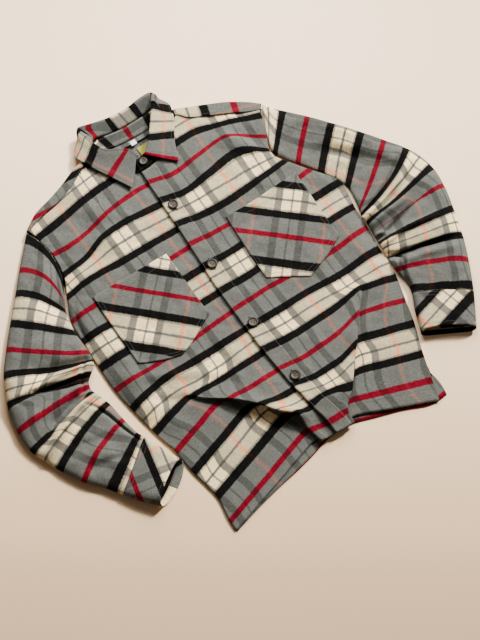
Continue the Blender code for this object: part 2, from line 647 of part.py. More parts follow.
def turned_button(name, radius, centre, normal, collection):
    """Rim, dished middle and flat foot, turned about the button's own axis."""
    form = bmesh.new()
    points = [form.verts.new((out * radius * MM, 0, up * BUTTON_HEIGHT * MM))
              for out, up in BUTTON_PROFILE]
    for first, second in zip(points[:-1], points[1:]):
        form.edges.new((first, second))
    mesh = bpy.data.meshes.new(name)
    form.to_mesh(mesh)
    form.free()
    button = bpy.data.objects.new(name, mesh)
    collection.objects.link(button)
    screw = button.modifiers.new("turn", "SCREW")
    screw.steps = BUTTON_SIDES
    screw.render_steps = BUTTON_SIDES
    screw.use_merge_vertices = True
    screw.merge_threshold = 0.00001
    place = np.array([centre[0] - PLAN_CENTRE[0], centre[1] - PLAN_CENTRE[1], centre[2]]) * MM
    button.location = place
    turn = np.array(normal) / np.linalg.norm(normal)
    button.rotation_euler = (-math.asin(turn[1]), math.asin(turn[0]), 0)
    mesh.materials.append(material(name, HORN, 0.35))
    return button


def make_buttons(collection):
    collar_place = stand_grid([COLLAR_BUTTON_STATION], (0.5,))[0, 0]
    collar_place[2] += CLOTH + SEAM_GAP
    turned_button("button_1", COLLAR_BUTTON_RADIUS, collar_place, (0, 0, 1), collection)
    for number, drop in enumerate(BUTTON_DROPS, 2):
        patch = np.array([[front_on_cloth("left", s, d) for s in (6, BUTTON_ACROSS, 26)]
                          for d in (drop - 10, drop, drop + 10)])
        normal = np.cross(patch[2, 1] - patch[0, 1], patch[1, 2] - patch[1, 0])
        normal /= np.linalg.norm(normal)
        highest = max((patch.reshape(-1, 3) - patch[1, 1]) @ normal)
        foot = patch[1, 1] + normal * (highest + SEAM_GAP * 2 + PATCH)
        turned_button("button_%d" % number, BUTTON_RADIUS, foot, normal, collection)


Plate = namedtuple("Plate", "name left right foot top color")
PLATES = [
    Plate("neck_label", 36, 67, 352, 369, YELLOW),
    Plate("size_tab", 32, 42, 372, 380.5, WHITE),
]
TAPE = 0.6  # wall of the woven labels


def make_labels(collection):
    for plate in PLATES:
        grid = np.array([[(x, y, CLOTH + 2 * TAPE) for x in np.linspace(plate.left, plate.right, 3)]
                         for y in (plate.top, plate.foot)])
        cloth_object(plate.name, grid, TAPE, plate.color, collection=collection)


def main():
    for old in list(bpy.data.objects):
        bpy.data.objects.remove(old, do_unlink=True)
    collection = bpy.data.collections.new("flannel_shirt")
    bpy.context.scene.collection.children.link(collection)
    make_back(collection)
    make_yoke(collection)
    make_fronts(collection)
    make_placket(collection)
    make_pockets(collection)
    make_collar(collection)
    make_sleeves(collection)
    make_buttons(collection)
    make_labels(collection)


main()
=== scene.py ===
# %% [markdown]
# # A flannel shirt, laid flat
#
# This lesson dresses the plain cloth solids of a boxy flannel shirt that lies on a pale table. Every
# panel is rebuilt as a fine sheet on the form of its solid, then it gets its creases, its woven plaid,
# its stitching and its buttons. Lengths in the tables are in millimetres in the shirt's own plan: +Y
# towards the neck, +X towards the wearer's left, z up from the table.

# %% Load the solids as a fixed frame
import math
from collections import namedtuple

import bmesh
import bpy
import numpy as np
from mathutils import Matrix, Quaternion, Vector, noise


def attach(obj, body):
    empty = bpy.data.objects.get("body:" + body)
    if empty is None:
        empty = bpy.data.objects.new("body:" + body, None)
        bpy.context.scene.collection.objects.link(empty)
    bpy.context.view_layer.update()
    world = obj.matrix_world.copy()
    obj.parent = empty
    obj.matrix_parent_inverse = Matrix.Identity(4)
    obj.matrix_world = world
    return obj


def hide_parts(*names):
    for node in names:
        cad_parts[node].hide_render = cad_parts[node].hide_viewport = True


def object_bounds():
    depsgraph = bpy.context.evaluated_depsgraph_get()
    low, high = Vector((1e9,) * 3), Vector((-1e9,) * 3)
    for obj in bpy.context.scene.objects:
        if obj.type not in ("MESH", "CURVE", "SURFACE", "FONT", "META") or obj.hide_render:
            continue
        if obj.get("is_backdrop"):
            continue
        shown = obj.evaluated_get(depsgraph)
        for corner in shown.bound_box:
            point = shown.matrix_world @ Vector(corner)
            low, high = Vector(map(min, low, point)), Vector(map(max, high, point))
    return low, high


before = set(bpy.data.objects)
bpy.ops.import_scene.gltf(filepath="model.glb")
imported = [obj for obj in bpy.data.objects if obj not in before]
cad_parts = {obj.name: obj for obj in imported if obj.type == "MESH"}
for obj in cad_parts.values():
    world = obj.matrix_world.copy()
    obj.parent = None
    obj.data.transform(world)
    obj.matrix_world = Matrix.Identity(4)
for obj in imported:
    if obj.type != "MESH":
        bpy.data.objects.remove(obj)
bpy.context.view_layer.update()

# %% [markdown]
# ## Where things are
#
# The plan's own millimetres are easier to read than metres from the middle of the shirt, so one small
# function turns one into the other, for every piece alike.

# %% Plan millimetres to metres
MM = 0.001
PLAN_CENTRE = (14.667, 79.0)


def to_frame(point):
    """A plan point in mm as a vector in metres."""
    return Vector(((point[0] - PLAN_CENTRE[0]) * MM, (point[1] - PLAN_CENTRE[1]) * MM, point[2] * MM))


print("plan origin lies at", [round(v, 4) for v in to_frame((0, 0, 0))])

# %% [markdown]
# ## Putting things in the scene
#
# The camera, the lamps and the buttons all stand somewhere and face some way, and every piece of cloth
# or thread starts as a bmesh form. Both jobs come back many times, so each is written once. Buttons in
# Blender's menus do the same by hand, but a function does it alike for fifty pieces.

# %% Helpers for objects and meshes
SIDES = ("right", "left")


def add_object(name, data):
    """An object that is in the scene."""
    made = bpy.data.objects.new(name, data)
    bpy.context.scene.collection.objects.link(made)
    return made


def stand(thing, location, direction, turn=0.0):
    """Puts a thing somewhere with its own z along a direction, turned about it."""
    thing.location = location
    thing.rotation_mode = "QUATERNION"
    thing.rotation_quaternion = direction.to_track_quat("Z", "Y") @ Quaternion((0, 0, 1), turn)


def piece_from(form, name, finish=None):
    """A smooth piece from a finished bmesh form."""
    mesh = bpy.data.meshes.new(name)
    form.to_mesh(mesh)
    form.free()
    mesh.shade_smooth()
    if finish:
        mesh.materials.append(finish)
    return add_object(name, mesh)


print("sides are named as the wearer's:", *SIDES)

# %% [markdown]
# ## The camera
#
# The shirt is seen from well above, turned so that its collar points to the upper left. A camera can be
# placed by hand or aimed by two angles. Angles are chosen, because they can be read and changed.

# %% Aim the camera
AZIMUTH = math.radians(-34.8)
ELEVATION = math.radians(69.0)
CAMERA_AWAY = 2.258
AIM = to_frame((0, 0, 8))

toward_camera = Vector((math.sin(AZIMUTH) * math.cos(ELEVATION), -math.cos(AZIMUTH) * math.cos(ELEVATION),
                        math.sin(ELEVATION)))
lens = bpy.data.cameras.new("camera")
lens.lens = 76.5
lens.sensor_width = 36
camera = add_object("camera", lens)
stand(camera, AIM + toward_camera * CAMERA_AWAY, toward_camera)
bpy.context.scene.camera = camera
print("camera at", [round(v, 3) for v in camera.location])

# %% [markdown]
# ## Light
#
# Low daylight comes from beyond the wearer's left shoulder, about 37 degrees high, and throws clear,
# soft-edged shadows to the other side. A bright wall beyond the collar lights that end of the table
# more than the near one, and the room adds a little warm light. The daylight could be an area light, but
# only a sun lamp is equally strong on both sleeves; its angle sets how soft the shadows are.

# %% Place the lights
DAY_FROM = Vector((0.68, 0.245, 0.54))
DAY_ANGLE = math.radians(9)
WALL_FROM = Vector((0.571, 0.821, 0.80))
WALL_AWAY = 1.35
ROOM_TINT = (1.0, 0.88, 0.77, 1)


def lamp(name, kind, direction, away, energy, color):
    """A lamp that faces the shirt from one side."""
    data = bpy.data.lights.new(name, kind)
    data.energy = energy
    data.color = color
    light = add_object(name, data)
    stand(light, AIM + direction.normalized() * away, direction)
    return light


daylight = lamp("daylight", "SUN", DAY_FROM, 3.0, 8.6, (1.0, 0.965, 0.92))
daylight.data.angle = DAY_ANGLE
bright_wall = lamp("bright_wall", "AREA", WALL_FROM, WALL_AWAY, 40, (1.0, 0.975, 0.95))
bright_wall.data.size = 1.0
room = bpy.data.worlds.new("room")
room.use_nodes = True
glow = room.node_tree.nodes["Background"].inputs
glow["Color"].default_value = ROOM_TINT
glow["Strength"].default_value = 0.16
bpy.context.scene.world = room
print("bright wall at", [round(v, 2) for v in bright_wall.location])

# %% [markdown]
# ## Making a material from nodes
#
# A finish is a small network of nodes. Adding them one at a time takes many lines, so a helper adds a
# node, sets its sockets by name, and links the ones that are given another node's output.

# %% Helpers for nodes
def feed(tree, socket, value):
    """Links another node's output to a socket, or sets a number or a colour on it."""
    if isinstance(value, bpy.types.NodeSocket):
        tree.links.new(value, socket)
    else:
        socket.default_value = value


def put(tree, kind, sockets=None, **settings):
    """Adds a node; each socket gets a number, a colour, or another node's output."""
    made = tree.nodes.new(kind)
    for key_name, value in settings.items():
        setattr(made, key_name, value)
    for name, value in (sockets or {}).items():
        feed(tree, made.inputs[name], value)
    return made


def sum_of(tree, operation, first, second=0.0):
    """Output of a Math node."""
    return put(tree, "ShaderNodeMath", {0: first, 1: second}, operation=operation).outputs[0]


def moved(tree, operation, first, sockets):
    """Output of a Vector Math node."""
    return put(tree, "ShaderNodeVectorMath", {0: first, **sockets}, operation=operation).outputs[0]


def ranged(tree, value, low, high, start=0.0, end=1.0):
    """Runs from start to end while the value runs from low to high."""
    return put(tree, "ShaderNodeMapRange", {"Value": value, "From Min": low, "From Max": high,
                                            "To Min": start, "To Max": end}).outputs[0]


def blend_of(tree, share, first, second, kind="MIX"):
    """Output of a colour mix."""
    made = put(tree, "ShaderNodeMix", data_type="RGBA", blend_type=kind)
    for index, value in ((0, share), (6, first), (7, second)):
        feed(tree, made.inputs[index], value)
    return made.outputs[2]


def toned(tree, color, tone):
    """A colour made lighter or darker by a number that changes over the surface."""
    gray = put(tree, "ShaderNodeCombineColor", {"Red": tone, "Green": tone, "Blue": tone}).outputs[0]
    return blend_of(tree, 1.0, color, gray, "MULTIPLY")


def noisy(tree, place, scale, detail, **more):
    """Output of a noise texture."""
    sockets = {"Vector": place, "Scale": scale, "Detail": detail, **more}
    return put(tree, "ShaderNodeTexNoise", sockets).outputs["Fac"]


print("helpers for one node:", ", ".join(f.__name__ for f in (put, sum_of, moved, ranged, blend_of, noisy)))

# %% Helpers for a whole finish
def fresh_material(name):
    """An empty node material with its shader and its tree."""
    made = bpy.data.materials.new(name)
    made.use_nodes = True
    return made, made.node_tree, made.node_tree.nodes["Principled BSDF"]


def dress(tree, shader, height, strength, depth, sockets):
    """Gives a shader its relief, and its other sockets by name."""
    relief_node = put(tree, "ShaderNodeBump", {"Height": height, "Strength": strength, "Distance": depth})
    for name, value in {**sockets, "Normal": relief_node.outputs["Normal"]}.items():
        feed(tree, shader.inputs[name], value)


def shade(hex_color, share=1.0):
    """A share of a colour written as rrggbb, in the linear values that a shader wants."""
    parts = [int(hex_color[i:i + 2], 16) / 255 for i in (0, 2, 4)]
    return (*[(c / 12.92 if c <= 0.04045 else ((c + 0.055) / 1.055) ** 2.4) * share for c in parts], 1.0)


print("mid grey in linear values:", [round(v, 3) for v in shade("92948e")])

# %% [markdown]
# ## The table
#
# The shirt lies on a matt, warm white surface. It takes the shadows, so it is one wide plane with a
# very faint mottle. A real table is one colour, and the light fades across it. Here its colour fades
# too, darker and warmer towards the near end, because the lamps alone can't fade so fast without also
# leaving the shirt's hem in the dark.

# %% Lay the table
FADE_WAY = (0.571, 0.821)  # plan direction away from the near end
FADE_FROM, FADE_TO = -0.6, 0.6  # metres along it
TABLE_HALF = 4.0
TABLE_BELOW = 0.0004
TABLE_FADE = [(-0.60, "bfa17f"), (-0.50, "c7a885"), (-0.43, "d4b48f"), (-0.285, "e3c29a"), (-0.14, "eecfaa"),
              (0.20, "f7dbb7"), (0.40, "f7dbb8"), (0.60, "ead1af")]


def make_table():
    made, tree, shader = fresh_material("pale_table")
    place = put(tree, "ShaderNodeTexCoord").outputs["Object"]
    parts = put(tree, "ShaderNodeSeparateXYZ", {"Vector": place}).outputs
    along_table = sum_of(tree, "ADD", sum_of(tree, "MULTIPLY", parts["X"], FADE_WAY[0]),
                         sum_of(tree, "MULTIPLY", parts["Y"], FADE_WAY[1]))
    fade = put(tree, "ShaderNodeValToRGB", {"Fac": ranged(tree, along_table, FADE_FROM, FADE_TO)})
    stops = fade.color_ramp.elements
    stops[0].color, stops[1].color = shade(TABLE_FADE[0][1]), shade(TABLE_FADE[-1][1])
    for metres, color in TABLE_FADE[1:-1]:
        stops.new((metres - FADE_FROM) / (FADE_TO - FADE_FROM)).color = shade(color)
    cloud = ranged(tree, noisy(tree, place, 5.0, 5.0), 0.0, 1.0, 0.97, 1.0)
    dress(tree, shader, noisy(tree, place, 260.0, 3.0), 0.05, 0.0004,
          {"Base Color": toned(tree, fade.outputs["Color"], cloud), "Roughness": 0.85,
           "Specular IOR Level": 0.2})
    form = bmesh.new()
    bmesh.ops.create_grid(form, x_segments=2, y_segments=2, size=TABLE_HALF)
    table = piece_from(form, "table", made)
    table.location = (0, 0, -TABLE_BELOW)
    table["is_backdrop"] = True
    return table


table = make_table()
print("table is", [round(v, 1) for v in table.dimensions], "m")

# %% [markdown]
# ## The woven plaid
#
# Brushed flannel in an ordinary multi-stripe plaid, given as a chart. Weft stripes run across the shirt
# and repeat every 141 mm: black, cream with a grey line in it, black, grey, red, grey. Warp stripes run
# down it and repeat every 123 mm: a thin orange one, dusky bands, and pairs of white blocks. Where they
# cross, the warp tints each weft colour in its own way. An image could hold this, but nodes keep it
# sharp at any distance, and the same cloth can then be cut straight or on the bias by its coordinates.
#
# Each piece carries a coordinate layer named "cloth": u is the distance across from an orange stripe,
# and v is the place in the weft's repeat, both in metres.

# %% Chart of the stripes
WEFT_REPEAT = 141.0
WARP_REPEAT = 123.0
WEFT_START = 165.0  # a v, in mm, that lies in plain grey
WARP_START = -12.3  # a u that lies in plain ground

# Where each weft band starts, and how much of it is cream, black or red yarn.
WEFT_BANDS = [(0, (0, 0, 0)), (26.2, (0, 1, 0)), (39.7, (0.3, 0, 0)), (43.0, (1, 0, 0)),
              (58.4, (0.03, 0, 0)), (62.6, (1, 0, 0)), (78.2, (0.3, 0, 0)), (81.2, (0, 1, 0)),
              (94.6, (0, 0, 0)), (126.2, (0, 0, 1)), (135.8, (0, 0, 0))]

# The colours that each kind of warp makes on grey, cream, black and red weft.
Warp = namedtuple("Warp", "on_grey on_cream on_black on_red")
PLAIN = Warp("545550", "ada07f", "080706", "600417")
ORANGE = Warp("6e574d", "cf8663", "150907", "6c0a20")
DUSKY = Warp("41423e", "6b665a", "040404", "4c0312")
BLOCK = Warp("565853", "e8cf9e", "090807", "640518")
LINE = Warp("42443f", "7a7468", "050505", "540414")
WARP_BANDS = [(0, PLAIN), (9.3, ORANGE), (15.3, PLAIN), (45.6, DUSKY), (58, BLOCK), (73.8, LINE),
              (76.9, BLOCK), (90.4, DUSKY), (102.6, PLAIN)]
print(len(WEFT_BANDS), "weft bands and", len(WARP_BANDS), "warp bands")

# %% Bands as a colour ramp
EDGE = 1.0  # mm over which one yarn colour runs into the next


def banded(tree, place, repeat, bands):
    """Colour of a band at a place that runs from 0 to 1 over the repeat."""
    made = put(tree, "ShaderNodeValToRGB", {"Fac": place})
    stops = made.color_ramp.elements
    stops[0].color, stops[1].color = bands[0][1], bands[-1][1]
    for (_, before), (start, after) in zip(bands[:-1], bands[1:]):
        stops.new((start - EDGE / 2) / repeat).color = before
        stops.new((start + EDGE / 2) / repeat).color = after
    return made.outputs["Color"]


def wrapped(tree, value, repeat, start):
    """Share of the way through the repeat, from a coordinate in metres."""
    turns = sum_of(tree, "MULTIPLY", value, 1000.0 / repeat)
    return sum_of(tree, "FRACT", sum_of(tree, "SUBTRACT", turns, start / repeat - 40.0))


print("one yarn colour runs into the next over", EDGE, "mm")

# %% Yarn colours of the flannel
FRAY = 0.0032  # metres that a band's edge strays
FLECK_SCALE = (170.0, 620.0, 1.0)  # long along the warp, short across it
TWILL_PITCH = 0.0017
ROUGHER = {"Roughness": 0.7}


def plaid_color(tree, cloth):
    """The woven colour at a cloth place, with edges that stray a little."""
    stray = put(tree, "ShaderNodeTexNoise", {"Vector": cloth, "Scale": 520.0, "Detail": 3.0}).outputs["Color"]
    stray = moved(tree, "SUBTRACT", stray, {1: (0.5, 0.5, 0.5)})
    frayed = moved(tree, "ADD", cloth, {1: moved(tree, "SCALE", stray, {"Scale": FRAY})})
    parts = put(tree, "ShaderNodeSeparateXYZ", {"Vector": frayed}).outputs
    across = wrapped(tree, parts["X"], WARP_REPEAT, WARP_START)
    along = wrapped(tree, parts["Y"], WEFT_REPEAT, WEFT_START)
    yarns = banded(tree, along, WEFT_REPEAT, [(start, (*share, 1)) for start, share in WEFT_BANDS])
    shares = put(tree, "ShaderNodeSeparateColor", {"Color": yarns}).outputs
    color = None
    for column, share in (("on_grey", None), ("on_cream", "Red"), ("on_black", "Green"), ("on_red", "Blue")):
        bands = [(start, shade(getattr(warp, column))) for start, warp in WARP_BANDS]
        stripe = banded(tree, across, WARP_REPEAT, bands)
        color = stripe if color is None else blend_of(tree, shares[share], color, stripe)
    return color


print("a band's edge strays by up to", round(FRAY / 2 / MM, 1), "mm")

# %% Brushed flannel
def make_flannel(name):
    """The shirt's cloth: plaid, heathered yarn, soft nap and a fine twill."""
    made, tree, shader = fresh_material(name)
    cloth = put(tree, "ShaderNodeUVMap", uv_map="cloth").outputs["UV"]

    # Brushing mixes the fibres, so the colour is flecked along the yarn and a little cloudy.
    fleck_place = put(tree, "ShaderNodeMapping", {"Vector": cloth, "Scale": FLECK_SCALE}).outputs[0]
    fleck = noisy(tree, fleck_place, 1.0, 4.0, **ROUGHER)
    cloud = noisy(tree, cloth, 24.0, 3.0)
    tone = sum_of(tree, "MULTIPLY", ranged(tree, fleck, 0.3, 0.7, 0.62, 1.36),
                  ranged(tree, cloud, 0.3, 0.7, 0.93, 1.07))
    lint = ranged(tree, fleck, 0.54, 0.74, 0.0, 0.045)
    color = blend_of(tree, lint, toned(tree, plaid_color(tree, cloth), tone), shade("77766f"))

    # The twill's fine diagonal, the nap that hides most of it, and shallow crinkles from the wash.
    flat = put(tree, "ShaderNodeSeparateXYZ", {"Vector": cloth}).outputs
    diagonal = sum_of(tree, "ADD", flat["X"], flat["Y"])
    twill = sum_of(tree, "SINE", sum_of(tree, "MULTIPLY", diagonal, 2 * math.pi / TWILL_PITCH))
    nap = noisy(tree, cloth, 430.0, 5.0, **ROUGHER)
    height = sum_of(tree, "ADD", sum_of(tree, "MULTIPLY", twill, 0.10), nap)
    height = sum_of(tree, "ADD", height, sum_of(tree, "MULTIPLY", noisy(tree, cloth, 110.0, 2.0), 1.1))
    dress(tree, shader, height, 0.55, 0.0011,
          {"Base Color": color, "Roughness": ranged(tree, nap, 0.0, 1.0, 0.86, 1.0),
           "Specular IOR Level": 0.04, "Sheen Weight": 0.01, "Sheen Roughness": 0.6})
    return made


flannel = make_flannel("brushed_flannel")
print("flannel has", len(flannel.node_tree.nodes), "nodes")

# %% [markdown]
# ## Curves through measured points
#
# A laid shirt is easiest to describe line by line: where each weft thread runs, and where the fold's
# rounded edge is. A cubic curve through those few points gives the cloth between them. A held curve
# doesn't swing past its points where a short step follows a long one, which keeps small turns clean.

# %% The curve function
def smooth(stations, values, at, held=False):
    """Values at the given places on a smooth curve through the stations."""
    stations = np.asarray(stations, float)
    values = np.asarray(values, float)
    at = np.clip(np.asarray(at, float), stations[0], stations[-1])
    step = np.diff(stations)
    slope = np.diff(values, axis=0) / step.reshape((-1,) + (1,) * (values.ndim - 1))
    tangent = np.empty_like(values)
    tangent[0] = slope[0]
    tangent[-1] = slope[-1]
    left = step[:-1].reshape((-1,) + (1,) * (values.ndim - 1))
    right = step[1:].reshape(left.shape)
    tangent[1:-1] = (slope[:-1] * right + slope[1:] * left) / (left + right)
    if held:
        most = 3 * np.minimum(abs(slope[:-1]), abs(slope[1:])) * (slope[:-1] * slope[1:] > 0)
        tangent[1:-1] = np.clip(tangent[1:-1], -most, most)
    cell = np.clip(np.searchsorted(stations, at, side="right") - 1, 0, len(step) - 1)
    shape = at.shape + (1,) * (values.ndim - 1)
    width = step[cell].reshape(shape)
    u = ((at - stations[cell]).reshape(shape)) / width
    return ((1 + 2 * u) * (1 - u) ** 2 * values[cell] + u * (1 - u) ** 2 * width * tangent[cell]
            + u * u * (3 - 2 * u) * values[cell + 1] + u * u * (u - 1) * width * tangent[cell + 1])


def spread(rows, columns=None):
    """The named columns of a table as an array, or all of them."""
    names = columns.split() if columns else rows[0]._fields
    return np.array([[getattr(row, name) for name in names] for row in rows], float)


print("half way up a held step:", round(float(smooth((0, 1, 2), (0, 0, 1), 1.5, held=True)), 3))

# %% [markdown]
# ## The two fronts
#
# Each row below is one weft line of a front, named by its drop from the neck point. The upper rows lie
# flat. The lower rows run through the fold where the body has slid down and doubled under itself: the
# crest is the fold's rounded edge, and under is where the lower layer comes out from below it. Dropping
# a shirt by simulation would give folds too, but not these ones, so the rows say where they lie.

# %% Weft lines of the fronts
Upper = namedtuple("Upper", "drop edge_x edge_y chest_y mid_y arm_y side_x side_y rise side_z")
Fold = namedtuple("Fold", "drop edge_x edge_y mid_y crest_s crest_x crest_y crest_z "
                          "under_s under_x under_y under_z side_x side_y")

RIGHT_UPPER = [Upper(*row) for row in [
    (64, 18, 381, 386, 380, 370, -208, 362, 12, 12),
    (112, 16, 333, 338, 332, 322, -199, 316, 12, 12),
    (155, 13, 290, 297, 283, 273, -193, 276, 12, 11),
    (198, 11, 250, 254, 257, 238, -198, 235, 13, 10),
    (253, 8, 192, 197, 198, 202, -214, 198, 13, 8),
    (296, 5, 156, 157, 157, 158, -232, 157, 12, 5),
    (339, 2, 112, 112, 113, 115, -235, 118, 12, 3.8),
    (394, -1, 58, 60, 60, 59, -237, 62, 12, 3.6),
    (437, -2, 18, 18, 13, 12, -237, 16, 12, 3.6),
    (480, -2, -22, -19, -18, -15, -232, -26, 12, 3.6),
    (507, -2, -42, -45, -50, -44, -228, -52, 13, 3.6),
]]
RIGHT_FOLD = [Fold(*row) for row in [
    (535, -1.5, -68, -70, 168, -138, -66, 15, 183, -150, -63, 10, -223, -80),
    (578, 0, -108, -109, 127, -95, -106, 22, 161, -110, -98, 8, -213, -126),
    (621, 2, -150, -152, 93, -60, -144, 26, 134, -75, -133, 7, -209, -170),
    (648, 4, -170, -174, 76, -45, -166, 27, 114, -58, -153, 6.5, -204, -196),
    (676, 7, -190, -193, 55, -22, -189, 25, 97, -33, -179, 6, -200, -224),
    (719, 14, -229, -226, 52, -18, -222, 14, 94, -22, -218, 5.5, -206, -269),
    (737, 15, -250, -248, 47, -12, -246, 11.5, 92, -20, -238, 5, -206, -286),
]]
LEFT_UPPER = [Upper(*row) for row in [
    (64, 18, 380, 380, 384, 366, 262, 341, 12, 12),
    (112, 16, 335, 333, 336, 320, 250, 293, 12, 12),
    (155, 13, 298, 288, 292, 292, 234, 254, 12, 11),
    (198, 11, 257, 247, 252, 257, 222, 230, 13, 11),
    (225, 9, 229, 223, 221, 219, 223, 214, 13, 12),
    (253, 8, 203, 194, 189, 193, 232, 197, 14, 13),
    (296, 5, 159, 155, 152, 153, 257, 158, 13, 13),
    (339, 2, 112, 108, 112, 113, 288, 109, 13, 11),
    (366, 0, 88, 86, 84, 84, 286, 83, 13, 8),
    (394, -1, 59, 55, 60, 59, 282, 61, 12, 4.5),
    (437, -2, 19, 20, 18, 12, 277, 16, 12, 3.6),
    (480, -2, -20, -24, -22, -29, 270, -28, 12, 3.6),
    (507, -2, -40, -48, -47, -53, 268, -57, 13, 3.6),
]]
LEFT_FOLD = [Fold(*row) for row in [
    (535, -1.5, -67, -76, 190, 193, -69, 14, 205, 205, -73, 12, 262, -86),
    (578, 0, -109, -117, 172, 168, -105, 17, 205, 176, -107, 10, 249, -127),
    (621, 2, -145, -156, 134, 131, -148, 19, 188, 139, -140, 8, 236, -169),
    (648, 4, -163, -176, 112, 110, -170, 19, 174, 123, -163, 7.5, 225, -195),
    (676, 7, -189, -188, 84, 83, -202, 18, 168, 105, -184, 7, 215, -220),
    (719, 14, -228, -229, 40, 54, -230, 14, 139, 62, -217, 6, 199, -266),
    (737, 15, -249, -252, 36, 51, -251, 11.5, 130, 56, -241, 5.5, 187, -299),
]]
print(len(RIGHT_UPPER + RIGHT_FOLD), "weft lines on the right,", len(LEFT_UPPER + LEFT_FOLD), "on the left")

# %% Seams that the fronts meet
LAP = [(64, 30), (650, 30), (719, 15), (737, 15)]
CENTRE_RISE = [(64, 10), (155, 12), (253, 13), (394, 13), (507, 14), (578, 17), (621, 20),
               (676, 21), (719, 13.5), (737, 10.5)]
NECKLINE = [(-60, 386), (-45, 364), (-22, 341), (10, 324), (33, 321), (60, 326), (90, 346),
            (113, 368), (127, 379.5)]
HEM_DROP = 737.0
SEAM_UNDER = 1.0

Shoulder = namedtuple("Shoulder", "fold_x fold_y seam_x seam_y top_z back_x back_y")
YOKE = [Shoulder(*row) for row in [
    (-207, 339, -204, 334, 14.2, -200, 296),
    (-178, 358, -177, 344.5, 14.4, -176, 296),
    (-141, 369, -136, 353, 14.4, -140, 296),
    (-112, 379, -106, 363, 14.4, -112, 296),
    (-84, 391, -80, 376, 14.4, -84, 296),
    (-62, 397, -60, 387, 14, -62, 296),
    (-36, 400, -35, 389, 8, -36, 296),
    (-2, 394, -2, 383, 6.4, -2, 296),
    (33, 390, 33, 379, 6.4, 33, 296),
    (68, 389.5, 68, 378, 6.4, 68, 296),
    (100, 396, 100, 384, 7, 100, 296),
    (129, 393, 127, 380, 14, 126, 296),
    (150, 384, 142, 363.5, 14.4, 148, 296),
    (173, 373, 164, 350.5, 14.4, 168, 296),
    (213, 353, 203, 330, 14.4, 206, 296),
    (245, 331, 236, 312, 14.2, 232, 296),
    (264, 314, 256, 303, 14, 247, 296),
]]
print("the left front laps the right one by", LAP[0][1], "mm")

# %% Measures of a weft line
CHEST_STATIONS = {"right": (0, 72, 144, 203), "left": (0, 42, 97, 167)}
CREST_ABOVE = {"right": 165.0, "left": 185.0}
CREST_FROM_SIDE = 70.0
LIP = 4.0
LIP_RADIUS = 2.6
LIP_IN = 3.0
SIDE_ROUND = 12.0
TUCK = 9.0
OVERHANG = 12.0
SHOULDER_IN = 0.12
SIDE_REST = 3.6
UNDERLAP = 3.0
COLUMNS = np.array([0, 50, 100, 146, 150, 154, 168, 190, 206, 223, 235], float)


def along(table, drop):
    """Value at a drop from a table of (drop, value) pairs."""
    drops, values = zip(*table)
    return float(smooth(drops, values, drop))


def buttoned_edge(row, right):
    """Plan x of the front's own edge, which lies further over on the side underneath."""
    return row.edge_x + (along(LAP, row.drop) if right else 0.0)


print("the top row's edge lies at x", round(buttoned_edge(RIGHT_UPPER[0], True)), "on the front underneath")

# %% Knots of a row without a fold
def upper_knots(row, side):
    """Eleven points (s, x, y, z) across the cloth on a row without a fold."""
    right = side == "right"
    edge_x = buttoned_edge(row, right)
    reach = abs(row.side_x - edge_x)
    crest = min(CREST_ABOVE[side], reach - CREST_FROM_SIDE)
    under = crest + 2 * (COLUMNS[7] - COLUMNS[6])
    across = np.array([0, crest / 3, crest * 2 / 3, crest - LIP, crest, crest + LIP,
                       (crest + under) / 2, under, (under + reach - SIDE_ROUND) / 2,
                       reach - SIDE_ROUND, reach])
    stations = CHEST_STATIONS[side] + (reach,)
    heights = (row.edge_y, row.chest_y, row.mid_y, row.arm_y, row.side_y)
    y = smooth(stations, heights, across)
    x = edge_x + (-across if right else across)
    centre = along(CENTRE_RISE, row.drop)
    z = np.full(len(COLUMNS), float(row.rise))
    z[:2] = centre
    z[-2] = (row.rise + row.side_z) / 2
    z[-1] = row.side_z
    if right:
        z[0] -= UNDERLAP
        z[1] -= UNDERLAP * 0.7
    return np.stack([across, x, y, z], 1)


print("a row has", len(upper_knots(LEFT_UPPER[0], "left")), "knots")

# %% Knots of a row with the fold
def fold_knots(row, side):
    """Eleven points (s, x, y, z) across the cloth on a row that runs through the fold."""
    right = side == "right"
    way = -1.0 if right else 1.0
    edge = np.array([0, buttoned_edge(row, right), row.edge_y])
    crest = np.array([row.crest_s, row.crest_x, row.crest_y])
    under = np.array([row.under_s, row.under_x, row.under_y])
    out = (crest - edge)[1:] / math.hypot(*(crest - edge)[1:])
    lower = math.hypot(row.side_x - row.under_x, row.side_y - row.under_y)
    rim = np.array([row.under_s + lower, row.side_x, row.side_y])
    middle_y = smooth((0, 0.5, 1), (row.edge_y, row.mid_y, row.crest_y), (1 / 3, 2 / 3))
    first = edge + (crest - edge) / 3
    second = edge + (crest - edge) * 2 / 3
    first[2], second[2] = middle_y
    hidden = under[0] - crest[0] - math.hypot(under[1] - crest[1], under[2] - crest[2])
    overhang = min(1.0, hidden / OVERHANG)
    radius = min(LIP_RADIUS, (row.crest_z - row.under_z) / 3)
    lip = crest - [LIP, *(out * LIP_RADIUS)]
    turned = crest + [LIP, *(out * (LIP - (LIP + LIP_IN) * overhang))]
    tuck = (crest + under) / 2
    tuck[1] -= way * min(TUCK, hidden / 2) * overhang
    plan = [edge, first, second, lip, crest, turned, tuck, under, (under + rim) / 2,
            rim + (under - rim) * SHOULDER_IN, rim]
    centre = along(CENTRE_RISE, row.drop)
    low = row.crest_z - 2 * radius
    z = [centre, centre + 0.3, (centre + row.crest_z) / 2 + 0.6, row.crest_z, row.crest_z - radius,
         low, row.under_z + 0.45 * (low - row.under_z), row.under_z, row.under_z + 0.4,
         SIDE_REST + 1.2, SIDE_REST]
    if right:
        z[0] -= UNDERLAP + 0.6
        z[1] -= UNDERLAP + 0.3
        z[2] -= UNDERLAP * 0.8
    return np.column_stack([np.array(plan), z])


